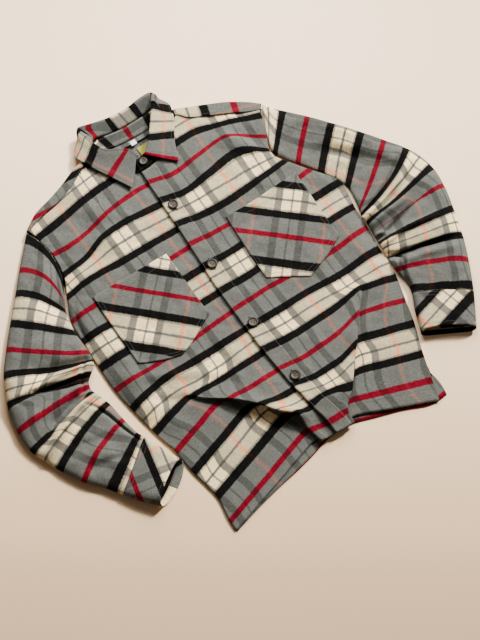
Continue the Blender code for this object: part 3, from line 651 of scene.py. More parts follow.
def front_rows(side):
    """Drops and knots of every weft line of one front."""
    upper, folded = (RIGHT_UPPER, RIGHT_FOLD) if side == "right" else (LEFT_UPPER, LEFT_FOLD)
    drops = [row.drop for row in upper + folded]
    knots = [upper_knots(row, side) for row in upper] + [fold_knots(row, side) for row in folded]
    return np.array(drops, float), np.array(knots)


FRONTS = {side: front_rows(side) for side in SIDES}
print("knots on one front:", FRONTS["right"][1].shape[:2])

# %% From knots to a surface
DROPS_AT_TOP = (40.0, 150.0)


def front_column(side, column, drops):
    """Points (s, x, y, z) down one column of the cloth."""
    table_drops, knots = FRONTS[side]
    lines = smooth(table_drops, knots, drops)
    return smooth(COLUMNS, np.moveaxis(lines, -2, 0), column, held=True)


def top_line(side):
    """Plan points of the line where a front starts: shoulder seam, then neckline."""
    right = side == "right"
    seam = [(row.seam_x, row.seam_y + SEAM_UNDER) for row in YOKE if row.top_z > 10]
    seam = [point for point in seam if (point[0] < -61 if right else point[0] > 128)]
    line = seam + NECKLINE[:5] if right else NECKLINE[4:] + seam
    return zip(*line)


def start_drop(side, column, line):
    """Drop at which a column meets the panel's top line."""
    low, high = DROPS_AT_TOP
    for _ in range(22):
        middle = (low + high) / 2
        _, x, y, _ = front_column(side, column, middle)
        if y > smooth(*line, x):
            low = middle
        else:
            high = middle
    return high


def front_surface(side, columns, rows):
    """Outer points of a front from its top line to its hem, and the cloth place (s, drop) of each."""
    line = tuple(top_line(side))
    points = np.empty((rows, len(columns), 3))
    places = np.empty((rows, len(columns), 2))
    for j, column in enumerate(columns):
        drops = np.linspace(start_drop(side, column, line), HEM_DROP, rows)
        sheet = front_column(side, column, drops)
        points[:, j] = sheet[:, 1:]
        places[:, j, 0] = sheet[:, 0]
        places[:, j, 1] = drops
    return points, places


probe = front_column("left", 50, 300.0)
print("a third of the way to the fold, at drop 300:", [round(float(v)) for v in probe])

# %% Looking up a point on the cloth
CLOTH_STEP = 1.5
CLOTH_DROPS = np.arange(60, HEM_DROP + 2, 2.0)


def unrolled(side):
    """The front as an even grid over distance across the cloth and drop."""
    columns = np.linspace(0, COLUMNS[-1], 220)
    lines = np.array([front_column(side, column, CLOTH_DROPS) for column in columns])
    across = np.arange(0, lines[..., 0].max(), CLOTH_STEP)
    grid = np.empty((len(CLOTH_DROPS), len(across), 3))
    for i in range(len(CLOTH_DROPS)):
        for k in range(3):
            grid[i, :, k] = np.interp(across, lines[:, i, 0], lines[:, i, k + 1])
    return grid


UNROLLED = {side: unrolled(side) for side in SIDES}


def on_front(side, across, drop):
    """Points of the panel at distances across the cloth and drops."""
    grid = UNROLLED[side]
    j = np.clip(np.asarray(across, float) / CLOTH_STEP, 0, grid.shape[1] - 1.001)
    i = np.clip((np.asarray(drop, float) - CLOTH_DROPS[0]) / 2.0, 0, grid.shape[0] - 1.001)
    j, i = np.broadcast_arrays(j, i)
    j0, i0 = j.astype(int), i.astype(int)
    fj, fi = (j - j0)[..., None], (i - i0)[..., None]
    upper = grid[i0, j0] * (1 - fj) + grid[i0, j0 + 1] * fj
    lower = grid[i0 + 1, j0] * (1 - fj) + grid[i0 + 1, j0 + 1] * fj
    return upper * (1 - fi) + lower * fi


print("placket's middle at drop 300:", on_front("left", 15, 300).round(1))

# %% [markdown]
# ## Creases
#
# Cloth that has been dropped on a table has soft ridges and hollows that no panel table holds. Each is
# drawn here as a line in the plan with a height and a width on either side, low at both ends. Because a
# crease lifts everything at its place by the same amount, a pocket and the panel below it bend together.

# %% Creases of the body and the sleeves
Crease = namedtuple("Crease", "height left_width right_width points")
CREASE_ROWS = {
    "body": [
        (5.5, 9, 16, [(150, 312), (178, 292), (203, 248), (222, 218)]),
        (-2.5, 10, 12, [(140, 290), (165, 270), (190, 235)]),
        (2.2, 14, 20, [(-190, 285), (-150, 262), (-105, 258), (-60, 262)]),
        (-1.8, 12, 16, [(-200, 240), (-150, 238), (-100, 236)]),
        (2.0, 12, 18, [(-120, 335), (-80, 300), (-55, 280)]),
        (2.0, 12, 18, [(-228, 190), (-190, 120), (-180, 60)]),
        (-2.0, 14, 18, [(-212, 170), (-175, 90), (-165, 20)]),
        (2.4, 10, 16, [(-225, -10), (-160, -55), (-100, -100), (-40, -165)]),
        (-1.8, 12, 14, [(-140, -20), (-90, -60), (-45, -110)]),
        (2.2, 12, 18, [(255, 0), (205, -60), (170, -100), (120, -160), (70, -215)]),
        (-2.0, 14, 18, [(225, 20), (180, -40), (140, -90), (95, -150)]),
        (1.8, 10, 14, [(110, -10), (100, -60), (75, -120), (50, -190)]),
        (1.6, 12, 14, [(-60, 20), (-40, -50), (-25, -110), (5, -180)]),
        (1.8, 12, 16, [(245, 185), (262, 140), (270, 90)]),
        (-1.4, 10, 14, [(232, 170), (245, 120), (255, 60)]),
        (4.5, 10, 10, [(-215, 22), (-165, -6), (-113, -38), (-50, -85)]),
        (-4.0, 8, 8, [(-215, -20), (-165, -55), (-125, -78), (-80, -112)]),
        (-4.0, 3, 3, [(-214, 176), (-224, 150), (-228, 126), (-227, 98)]),
        (3.5, 4, 4, [(-220, 174), (-232, 150), (-237, 126), (-236, 100)]),
    ],
    "sleeve_right": [
        (3.0, 12, 14, [(-345, 165), (-292, 146), (-225, 108)]),
        (-10.0, 8, 9, [(-335, 106), (-290, 98), (-245, 84), (-195, 70)]),
        (9.0, 5, 6, [(-345, 82), (-302, 84), (-261, 77), (-200, 62)]),
        (4.0, 5, 5, [(-275, 64), (-260, 70), (-244, 74), (-225, 76)]),
        (-10.0, 5, 5, [(-400, 88), (-350, 84), (-292, 64), (-250, 48), (-205, 32)]),
        (4.5, 9, 9, [(-400, 48), (-340, 46), (-280, 58), (-240, 62)]),
        (-9.5, 6, 5, [(-385, -8), (-345, 24), (-285, 41), (-215, 52)]),
        (9.0, 8, 5, [(-400, -25), (-356, -4), (-309, 17), (-275, 24), (-235, 24)]),
        (7.0, 5, 5, [(-294, 44), (-278, 34), (-258, 18)]),
        (-7.5, 2.6, 3, [(-294, 22), (-279, 8), (-269, -16), (-261, -48), (-252, -75), (-242, -98)]),
        (-4.5, 2.5, 2.5, [(-244, 92), (-254, 79), (-263, 69), (-272, 58), (-282, 48)]),
        (2.5, 12, 16, [(-290, 225), (-262, 190), (-240, 150)]),
        (-3.5, 10, 16, [(-275, 240), (-245, 205), (-220, 150), (-215, 110)]),
        (3.0, 9, 12, [(-385, -40), (-345, -55), (-290, -75)]),
        (-3.5, 7, 9, [(-350, -25), (-315, -40), (-270, -50)]),
        (-3.0, 5, 8, [(-345, -75), (-310, -80), (-270, -95)]),
    ],
    "sleeve_left": [
        (-8.0, 9, 12, [(290, 190), (320, 158), (345, 130), (385, 75)]),
        (3.5, 11, 10, [(290, 262), (345, 190), (395, 110)]),
        (-11.0, 5, 6, [(215, 30), (285, 40), (320, 48), (360, 64), (400, 90)]),
        (9.0, 7, 5, [(215, 14), (272, 26), (326, 37), (367, 50), (420, 74)]),
        (6.5, 7, 7, [(240, 5), (280, 11), (322, 16), (370, 18)]),
        (-9.0, 4, 5, [(230, -20), (290, -13), (325, -4), (375, 4)]),
        (7.5, 7, 5, [(225, -30), (293, -29), (329, -27), (395, -42)]),
        (6.0, 4, 4, [(266, -2), (284, -8), (302, -16)]),
        (-10.0, 3.5, 8, [(225, -36), (300, -58), (334, -68), (395, -90)]),
        (6.0, 7, 8, [(250, -60), (300, -76), (340, -88), (385, -106)]),
        (-5.5, 2.5, 2.5, [(256, -36), (279, -47), (290, -60), (284, -76), (262, -90)]),
        (4.0, 4, 4, [(258, -48), (274, -62), (266, -82)]),
        (-6.0, 3, 4, [(280, -78), (271, -96), (268, -125)]),
        (3.0, 10, 14, [(380, -100), (340, -130), (300, -140)]),
    ],
}
CREASES = {group: [Crease(*row) for row in rows] for group, rows in CREASE_ROWS.items()}
print(sum(len(rows) for rows in CREASES.values()), "creases")

# %% Height of the creases
UNDULATIONS = [(38, 2.5, 0.0), (14, 1.1, 7.3)]  # each with its size, its height in mm and its seed


def crease_height(crease, x, y):
    """Height of one crease at plan places: highest half way along, and rounded across."""
    line = np.array(crease.points, float)
    steps = np.diff(line, axis=0)
    lengths = np.hypot(*steps.T)
    starts = np.concatenate([[0], np.cumsum(lengths)])[:-1]
    best = np.full(x.shape, np.inf)
    signed = np.zeros(x.shape)
    place = np.zeros(x.shape)
    for (px, py), (dx, dy), length, start in zip(line[:-1], steps, lengths, starts):
        share = np.clip(((x - px) * dx + (y - py) * dy) / length ** 2, 0, 1)
        away = np.hypot(x - px - share * dx, y - py - share * dy)
        side = np.sign(dx * (y - py) - dy * (x - px))
        nearer = away < best
        best = np.where(nearer, away, best)
        signed = np.where(nearer, side * away, signed)
        place = np.where(nearer, start + share * length, place)
    width = np.where(signed > 0, crease.left_width, crease.right_width)
    ends = np.sin(np.pi * np.clip(place / lengths.sum(), 0.0, 1.0)) ** 0.7
    return crease.height * ends * np.exp(-(signed / width) ** 2)


def soft_noise(x, y, size, seed):
    """Gentle undulation with hollows about that size."""
    flat = zip((x / size).ravel(), (y / size).ravel())
    return np.array([noise.noise((a, b, seed)) for a, b in flat]).reshape(x.shape)


def relief(group, x, y):
    """Height that creases and undulation add at plan places."""
    waves = sum(soft_noise(x, y, size, len(group) + seed) * height for size, height, seed in UNDULATIONS)
    return sum((crease_height(crease, x, y) for crease in CREASES[group]), waves)


print("relief on the left chest:", relief("body", np.array([100.0]), np.array([200.0])).round(2), "mm")

# %% [markdown]
# ## From a grid of points to a cloth piece
#
# A grid becomes a sheet of quads with its cloth coordinates, and a Solidify modifier gives it the wall
# of real flannel. Modelling both faces by hand would double the work and drift apart at every edit.

# %% Walls and cut sizes
CLOTH = 1.6
DOUBLED = 2.4
PATCH = 1.2
SEAM_GAP = 0.4
PATCH_CLEAR = 0.15
PATCH_UP = SEAM_GAP + PATCH + PATCH_CLEAR
LOOSE_FROM, LOOSE_OVER = 3.2, 6.0  # heights in mm: cloth is held down below the first, loose above both
CUTS = {}  # width, length and area in mm of each piece as it was cut


def note_cut(name, places):
    """Keeps a piece's flat size, from its cloth places."""
    first = places[1:, 1:] - places[:-1, :-1]
    second = places[1:, :-1] - places[:-1, 1:]
    area = abs(first[..., 0] * second[..., 1] - first[..., 1] * second[..., 0]).sum() / 2
    CUTS[name] = (*np.ptp(places.reshape(-1, 2), axis=0), area)


print("a wall of cloth is", CLOTH, "mm, a doubled cuff", DOUBLED, "mm")

# %% Build one cloth piece
def cloth_piece(name, grid, places, wall, around=False, flip=False, finish=None, cut=None):
    """A sheet through a grid of points in mm, with the cloth places (u, v) in mm of its points."""
    note_cut(name, places if cut is None else cut)
    rows, columns = grid.shape[:2]
    form = bmesh.new()
    layer = form.loops.layers.uv.new("cloth")
    verts = [[form.verts.new(to_frame(point)) for point in line] for line in grid]
    last = columns if around else columns - 1
    for i in range(rows - 1):
        for j in range(last):
            k = (j + 1) % columns
            corners = [(i, j, j), (i + 1, j, j), (i + 1, k, j + 1), (i, k, j + 1)]
            if flip:
                corners.reverse()
            face = form.faces.new([verts[row][column] for row, column, _ in corners])
            for loop, (row, _, column) in zip(face.loops, corners):
                loop[layer].uv = places[row, column] * MM
    piece = piece_from(form, name, finish or flannel)
    solid = piece.modifiers.new("cloth wall", "SOLIDIFY")
    solid.thickness = wall * MM
    solid.offset = -1
    return piece


PIECES = {}
print("pieces made so far:", len(PIECES))

# %% Lift and crease a grid
def lifted(grid, height):
    """The grid moved out along its own normals."""
    down = np.gradient(grid, axis=0)
    across = np.gradient(grid, axis=1)
    normal = np.cross(down, across)
    normal /= np.linalg.norm(normal, axis=2, keepdims=True)
    normal *= np.sign(normal[..., 2:3])
    return grid + normal * height


def creased(grid, group):
    """The grid with its group's creases, which fade where the cloth lies low."""
    made = grid.copy()
    loose = np.clip((grid[..., 2] - LOOSE_FROM) / LOOSE_OVER, 0.0, 1.0)
    made[..., 2] += relief(group, grid[..., 0], grid[..., 1]) * loose
    return made


print("cloth under", LOOSE_FROM, "mm stays flat")

# %% [markdown]
# ## Sewing the fronts
#
# The weft coordinate is simply the drop, so each stripe follows its own weft line into the fold and out
# again. The orange warp stripes lie at fixed distances from each front's edge. An unwrapped UV map would
# stretch near the fold, while millimetres counted along the cloth don't.

# %% Make the fronts
ORANGE_FROM_EDGE = {"right": 61.0, "left": 119.0}
FINE_COLUMNS = np.unique(np.concatenate([np.linspace(*span) for span in (
    (0, 146, 58), (146, 154, 11), (154, 168, 9), (168, 190, 10), (190, 223, 14), (223, 235, 7))]))
FRONT_ROWS = 240
LAST_STRIPE = 719
HEM_SWEEP = {"right": (0.15, 0.0), "left": (0.15, 0.83)}  # extra cloth under the last stripe, by the side


def front_places(side, places):
    """Cloth places with u counted from an orange stripe, and the hem's sweep towards the side."""
    made = places - [ORANGE_FROM_EDGE[side], 0.0]
    share = np.clip(places[..., 0] / COLUMNS[-1], 0, 1)
    extra = smooth((0, 1), HEM_SWEEP[side], share)
    made[..., 1] += np.maximum(places[..., 1] - LAST_STRIPE, 0) * extra
    return made


def make_front(side):
    points, places = front_surface(side, FINE_COLUMNS, FRONT_ROWS)
    return cloth_piece("shirt_front_" + side, creased(points, "body"), front_places(side, places), CLOTH,
                       flip=side == "right")


for side in SIDES:
    PIECES["front_" + side] = make_front(side)
print("fronts:", [len(PIECES["front_" + side].data.vertices) for side in SIDES], "points each")

# %% [markdown]
# ## The button band and the pockets
#
# The band and the pockets are sewn flat on the fronts, so their points are looked up on the panels and
# lifted by the seam's thickness. The pockets are cut on the bias: their stripes run across them at 45
# degrees, so their cloth coordinates come from the plan along two slanted directions instead.

# %% Make the button band
PLACKET_TOP = 129.0
PLACKET_WIDTH = 29.0
PLACKET_EDGE = 0.4


def make_band():
    across, drops = np.meshgrid(np.linspace(PLACKET_EDGE, PLACKET_WIDTH, 14),
                                np.linspace(PLACKET_TOP, HEM_DROP - 0.5, 230))
    panel = creased(on_front("left", across, drops), "body")
    grid = lifted(panel, PATCH_UP)
    places = np.stack([across - ORANGE_FROM_EDGE["left"], drops], 2)
    return cloth_piece("button_band", grid, places, PATCH)


PIECES["placket_band"] = make_band()
print("band is", PLACKET_WIDTH, "mm wide")

# %% Cut on the bias
Bias = namedtuple("Bias", "weft_way weft_marks warp_way warp_orange")
# weft_way is the plan direction square to the weft stripes; the marks pair a distance along it with the
# weft repeat's place there. warp_orange is where an orange stripe lies along warp_way.
BIAS = {
    "pocket_right": Bias((0.707, 0.707), [(-78, 198), (-49, 225.5), (-17.7, 252.6), (20.5, 296), (59, 339)],
                         (0.707, -0.707), -212.5),
    "pocket_left": Bias((0.682, 0.731), [(109, 252.6), (159.2, 296), (198, 339), (255, 393.6)],
                        (0.731, -0.682), -5.0),
    "cuff_right": Bias((0.978, -0.208), [(-263, 296), (-226.6, 339), (-202, 366.5)], (0.208, 0.978), -152.0),
    "cuff_left": Bias((0.225, -0.974), [(209.5, 198), (234, 225.5), (257, 252.6), (300, 280)],
                      (0.974, 0.225), 200.0),
    "yoke_right": Bias((0.087, 0.996), [(334.3, 296), (373.7, 339)], (0.996, -0.087), -100.0),
    "yoke_left": Bias((0.951, -0.309), [(23.9, 225.5), (52.7, 252.6), (106.3, 296)], (0.309, 0.951), 380.0),
}


def stretched(marks, at):
    """Places between marks, and on at the same rate beyond them."""
    known, values = (np.array(v, float) for v in zip(*marks))
    inside = np.interp(at, known, values)
    before = (at - known[0]) * (values[1] - values[0]) / (known[1] - known[0])
    after = (at - known[-1]) * (values[-1] - values[-2]) / (known[-1] - known[-2])
    return inside + np.minimum(before, 0) + np.maximum(after, 0)


def bias_places(name, x, y):
    """Cloth places of a piece cut on the bias, from its plan."""
    cut = BIAS[name]
    weft = stretched(cut.weft_marks, x * cut.weft_way[0] + y * cut.weft_way[1])
    warp = x * cut.warp_way[0] + y * cut.warp_way[1] - cut.warp_orange
    return np.stack([warp, weft], -1)


print("bias pieces:", ", ".join(BIAS))

# %% Make the pockets
Pocket = namedtuple("Pocket", "near far top_near top_far foot_near foot_far point_s point_drop")
POCKETS = {
    "right": Pocket(81, 226, 284, 283, 417, 419, 158, 451),
    "left": Pocket(80, 227, 279, 284, 419, 423, 143, 456),
}
POCKET_GRID = (59, 62)


def pocket_outline(side, share, down):
    """Distance across and drop on a pocket, from shares of its width and depth."""
    spec = POCKETS[side]
    width = spec.far - spec.near
    top = spec.top_near + share * (spec.top_far - spec.top_near)
    bend = (spec.point_s - spec.near) / width
    near_foot = spec.foot_near + (spec.point_drop - spec.foot_near) * share / bend
    far_foot = spec.foot_far + (spec.point_drop - spec.foot_far) * (1 - share) / (1 - bend)
    foot = np.where(share <= bend, near_foot, far_foot)
    return spec.near + share * width, top + down * (foot - top)


def pocket_point_grid(side, shares, downs):
    """Outer points of a pocket, or of lines on it."""
    across, drops = pocket_outline(side, shares, downs)
    return lifted(creased(on_front(side, across, drops), "body"), PATCH_UP)


def make_pocket(side):
    shares, downs = np.meshgrid(*(np.linspace(0, 1, count) for count in POCKET_GRID))
    grid = pocket_point_grid(side, shares, downs)
    places = bias_places("pocket_" + side, grid[..., 0], grid[..., 1])
    return cloth_piece("patch_pocket_" + side, grid, places, PATCH, flip=side == "right")


for side in SIDES:
    PIECES["pocket_" + side] = make_pocket(side)
print("pockets are", POCKETS["left"].far - POCKETS["left"].near, "mm wide")

# %% [markdown]
# ## The back
#
# Almost all of the back lies hidden. What shows is its hem, a strip a few millimetres wide below the
# fronts, and its corner at the side vent, so it is a plain sheet on the table with those stripes.

# %% Make the back
BACK_HEM = [(-206, -288), (-154, -276), (-102, -266.8), (-68, -262), (-25, -253.5), (-8, -249), (20, -247),
            (46, -249), (86, -262.5), (126, -276.5), (180, -298), (206, -297)]
BACK_TOP_Y = 295.6
BACK_TOP_DROP = 165.0
BACK_INSET = 1.5
BACK_ORANGE_X = 18
BACK_GRID = (120, 90)
# How far in mm the back shows beyond the left front's side, by the share of its length. It is tucked
# under that side above the vent, and its corner comes out below it.
VENT_OUT = [(0.0, 0.0), (0.6, 0.0), (0.7, -2.5), (0.925, -2.5), (0.95, 5.0), (1.0, 19.0)]
# Weft line at the hem, by plan x: a red stripe ends the cloth from the tongue to the vent.
HEM_STRIPE = [(-206, 712), (-98, 713), (-90, 715), (-25, 716), (-8, 719), (30, 724), (50, 720), (206, 722)]


def make_back():
    xs, ys = zip(*BACK_HEM)
    grid = np.empty((*BACK_GRID, 3))
    places = np.empty((*BACK_GRID, 2))
    for i, share in enumerate(np.linspace(0, 1, BACK_GRID[0])):
        drop = BACK_TOP_DROP + share * (HEM_DROP - BACK_TOP_DROP)
        left = front_column("right", COLUMNS[-1], drop)[1] + BACK_INSET
        right = front_column("left", COLUMNS[-1], drop)[1] - BACK_INSET
        right += np.interp(share, *zip(*VENT_OUT))
        for j, x in enumerate(np.linspace(left, right, BACK_GRID[1])):
            length = smooth(xs, ys, x) - BACK_TOP_Y
            grid[i, j] = (x, BACK_TOP_Y + share * length, CLOTH)
            places[i, j] = (x - BACK_ORANGE_X, np.interp(x, *zip(*HEM_STRIPE)) + (1 - share) * length)
    return cloth_piece("shirt_back", grid, places, CLOTH)


PIECES["back"] = make_back()
print("back hem is", BACK_HEM[-1][0] - BACK_HEM[0][0], "mm wide")

# %% [markdown]
# ## The yoke
#
# The yoke is one piece on the bias that comes from the back, turns over each shoulder and meets the
# fronts 15 to 20 mm further on. Inside the neck its wrong side shows behind the label. Two flat strips
# would be simpler, but one surface that rolls over the fold has no seam where the real one has none.

# %% Make the yoke
SHOULDER_TURN = 6.0
TURN = [(1.0, 0.0), (0.35, 0.05), (0.0, 0.3), (0.0, 0.7), (0.35, 0.96), (1.0, 1.0)]
YOKE_PATH = [0, 40, 80, 86, 89, 92, 95, 101, 112]
YOKE_ROLL_FROM = 81
YOKE_SEAM_AT = 109.6  # where on the path the stitches beside the front seam run
# Each shoulder's bias starts at a plan x and is full so many mm further out. Between them the yoke shows
# its wrong side: the warp's shift, the weft line, the plan y it lies at, and how slowly it changes.
BIAS_RIGHT, BIAS_LEFT = (-50, 12), (112, 10)
NECK_PLAIN = (140, 303, 296, 0.28)


def yoke_grid(stations, fractions):
    """From the back seam under the shoulder fold and over it to the front seam."""
    rows = smooth(np.arange(len(YOKE)), spread(YOKE), stations)
    lines = []
    for fold_x, fold_y, seam_x, seam_y, top_z, back_x, back_y in rows:
        inward = np.array([seam_x - fold_x, seam_y - fold_y])
        length = np.hypot(*inward)
        step = inward / length * min(SHOULDER_TURN, 0.6 * length)
        turn = [(fold_x + step[0] * share, fold_y + step[1] * share, top_z * height)
                for share, height in TURN]
        back = np.array([back_x, back_y, 0.0])
        path = np.array([back, (back + turn[0]) / 2, *turn, (seam_x, seam_y, top_z)])
        lines.append(smooth(YOKE_PATH, path, fractions, held=True))
    return np.swapaxes(np.array(lines), 0, 1)


def yoke_places(grid):
    """Bias places over each shoulder, and the plain grey stretch that shows behind the neck."""
    x, y = grid[..., 0], grid[..., 1]
    shift, weft, at_y, slow = NECK_PLAIN
    plain = np.stack([x + shift, weft + (y - at_y) * slow], -1)
    on_right = np.clip((BIAS_RIGHT[0] - x) / BIAS_RIGHT[1], 0, 1)[..., None]
    on_left = np.clip((x - BIAS_LEFT[0]) / BIAS_LEFT[1], 0, 1)[..., None]
    return (bias_places("yoke_right", x, y) * on_right + bias_places("yoke_left", x, y) * on_left
            + plain * (1 - on_right - on_left))


def make_yoke():
    fractions = np.concatenate([np.linspace(0, YOKE_PATH[2], 24),
                                np.linspace(YOKE_ROLL_FROM, YOKE_PATH[-1], 32)])
    grid = yoke_grid(np.linspace(0, len(YOKE) - 1, 150), fractions)
    return cloth_piece("shoulder_yoke", grid, yoke_places(grid), CLOTH)


PIECES["yoke"] = make_yoke()
print("yoke runs over", YOKE[-1].fold_x - YOKE[0].fold_x, "mm")

# %% [markdown]
# ## The collar
#
# A standing band runs round the neck, and the leaf is folded down over it. The band's and the leaf's
# stripes stand across them, because both are cut along the cloth's length. Bending a flat leaf with a
# modifier would turn all of it alike, so each of its rows has a seam, a roll and an edge of its own.

# %% Tables of the collar
Band = namedtuple("Band", "foot_x foot_y foot_z top_x top_y top_z")
STAND = [Band(*row) for row in [
    (44, 328, 9.5, 41, 347, 11),
    (22, 327, 9.5, 24, 346, 11),
    (-6, 333, 11, 6, 352, 12.5),
    (-34, 357, 12.5, -13, 372, 13.5),
    (-50, 384, 13, -30, 390, 14),
    (-48, 398, 11, -38, 399, 18),
    (-34, 402, 8.6, -31, 409, 17),
    (-17, 398, 8.4, -17, 415, 13),
    (-2, 392, 8.2, -9, 418, 12),
    (33, 388, 8, 33, 411.5, 12),
    (68, 387, 8, 70, 411.5, 12),
    (88, 393, 8.2, 92, 412.5, 12),
    (103, 397, 8, 101, 409, 16.5),
    (114, 399, 11, 106, 400, 18),
    (118, 382, 13, 98, 389, 14.5),
    (99, 354, 13.5, 79, 368, 14.5),
    (70, 335, 13.5, 58, 352, 14.5),
    (40, 326, 13.5, 36, 347, 14.5),
    (14, 322, 13.5, 16, 342, 14.5),
]]
Leaf = namedtuple("Leaf", "seam_x seam_y seam_z roll_x roll_y roll_z edge_x edge_y edge_z")
LEAF = [Leaf(*row) for row in [
    (17, 345, 16, 27, 348, 20, -15, 303, 15.5),
    (6, 359, 15.5, 18, 369, 21.5, -35, 343, 16),
    (-19, 378, 16, -12, 388, 22.5, -46, 365, 17),
    (-31, 394, 17, -23, 407, 24, -56, 387, 18.5),
    (-33, 407, 19, -27, 428, 25, -63, 407, 17),
    (-27, 416, 18, -30, 445, 23, -56, 425, 10),
    (-12, 421, 14, -29, 454, 19, -36, 428, 2),
    (8, 417, 12.5, 1, 447, 17, 2, 420, 0.4),
    (33, 413.6, 12.3, 31, 441, 16, 32, 413, 0.4),
    (66, 413.6, 12.3, 63, 440, 16, 65, 413, 0.4),
    (90, 415, 12.8, 93, 443, 18, 95, 416, 0.4),
    (103, 412, 19, 113.5, 439, 21, 121, 423, 4),
    (109, 404, 21.5, 105, 424, 25, 129, 406, 13.5),
    (105, 396, 20, 96, 411, 25, 124, 386, 18),
    (87, 373, 18, 75, 384, 23, 114, 365, 17.5),
    (64, 352, 17.2, 56, 361, 22, 98, 341, 16.5),
    (41, 338, 17.4, 36, 343, 20.5, 79, 300, 15),
]]
# Distance along the leaf from the cream band's middle at the centre back, at each of its rows: at the
# seam, and from the roll outwards.
LEAF_ALONG = [(-245, -245), (-212, -212), (-186, -186), (-165, -165), (-140, -140), (-85, -117), (-69, -95),
              (-46, -62), (-16, -16), (18, 18), (48, 48), (64, 64), (101, 101), (117, 117), (147, 147),
              (175, 175), (214, 214)]
print(len(STAND), "rows of the stand and", len(LEAF), "of the leaf")

# %% Make the stand
STAND_RED_X = 39.0  # where the red stripe stands at the centre back
WEFT_RED = 296.0
WEFT_BLACK = 198.0
STAND_ENDS = (3.5, 14.5)  # beyond these rows the stand is black
STAND_BACK = (7, 12)  # rows across the back of the neck
STAND_HIGH, STAND_WARP = 24, 25


def stand_grid(stations, heights):
    rows = smooth(np.arange(len(STAND)), spread(STAND), stations)
    return np.array([[foot + (top - foot) * share for foot, top in ((row[:3], row[3:]) for row in rows)]
                     for share in heights])


def make_stand():
    stations = np.linspace(0, len(STAND) - 1, 260)
    heights = np.linspace(0, 1, 11)
    grid = stand_grid(stations, heights)
    middle = grid[5]
    length = np.concatenate([[0], np.cumsum(np.linalg.norm(np.diff(middle, axis=0), axis=1))])
    back = (stations > STAND_BACK[0]) & (stations < STAND_BACK[1])
    red_at = np.interp(STAND_RED_X, middle[back, 0], length[back])
    at_end = (stations < STAND_ENDS[0]) | (stations > STAND_ENDS[1])
    weft = np.where(at_end, WEFT_BLACK, WEFT_RED + length - red_at)
    up, weft, cut_length = np.broadcast_arrays(heights[:, None] * STAND_HIGH + STAND_WARP, weft, length)
    return cloth_piece("collar_band", grid, np.stack([up, weft], 2), CLOTH, flip=True,
                       cut=np.stack([up, cut_length], 2))


PIECES["collar_stand"] = make_stand()
print("stand is", STAND_HIGH, "mm high")

# %% Make the leaf
LEAF_PATH = [0, 10, 13, 16, 32, 50]
ROLL_RADIUS = 2.6
HALF_WAY = 0.55
WEFT_LINE = 225.5
LEAF_SPREAD = 1.35  # mm of cloth to one step of the path
# Where the orange stripe runs on the leaf's path, by row.
LEAF_ORANGE = [(0, 42), (5.5, 42), (7.5, 33), (16, 33)]


def across_roll(arm, roll_line):
    """Unit direction of an arm of the fold, square to the roll line."""
    arm = arm - roll_line * (arm @ roll_line)
    return arm / np.linalg.norm(arm)


def leaf_grid(stations, fractions):
    """Seam up to the roll and over it to the outer edge."""
    count = np.arange(len(LEAF))
    rows = spread(LEAF)
    shaped = smooth(count, rows, stations)
    ahead = smooth(count, rows[:, 3:6], np.asarray(stations) + 0.1)
    behind = smooth(count, rows[:, 3:6], np.asarray(stations) - 0.1)
    lines = []
    for row, roll_line in zip(shaped, ahead - behind):
        seam, roll, edge = row[:3], row[3:6], row[6:]
        roll_line /= np.linalg.norm(roll_line)
        inner = across_roll(seam - roll, roll_line)
        outer = across_roll(edge - roll, roll_line)
        out = -(inner + outer) / np.linalg.norm(inner + outer)
        over = (outer - inner) / np.linalg.norm(outer - inner)
        path = np.array([seam, roll - (out + over) * ROLL_RADIUS, roll,
                         roll - (out - over) * ROLL_RADIUS, roll + (edge - roll) * HALF_WAY, edge])
        lines.append(smooth(LEAF_PATH, path, fractions, held=True))
    return np.swapaxes(np.array(lines), 0, 1)


def make_leaf():
    stations = np.linspace(0, len(LEAF) - 1, 240)
    fractions = np.concatenate([np.linspace(0, 9, 7), np.linspace(10, 16, 13), np.linspace(17.5, 50, 24)])
    grid = leaf_grid(stations, fractions)
    at_seam, from_roll = smooth(np.arange(len(LEAF)), LEAF_ALONG, stations).T
    turned = np.clip(fractions / LEAF_PATH[2], 0, 1)[:, None]
    weft = WEFT_LINE + at_seam + (from_roll - at_seam) * turned
    orange = np.interp(stations, *zip(*LEAF_ORANGE))
    places = np.stack([(fractions[:, None] - orange) * LEAF_SPREAD, weft], 2)
    return cloth_piece("collar_leaf_cloth", grid, places, PATCH, flip=True)


PIECES["collar_leaf"] = make_leaf()
print("leaf is", LEAF_ALONG[-1][1] - LEAF_ALONG[0][1], "mm long")

# %% [markdown]
# ## The sleeves
#
# A sleeve is a flattened tube. Each row of its table is one cross section: its outer edge, the middle of
# its top layer and its inner edge, with the top layer's height near each. A cuff is the same kind of
# tube, cut double and on the bias. Squeezing a round tube would leave the elbow's folds to chance.

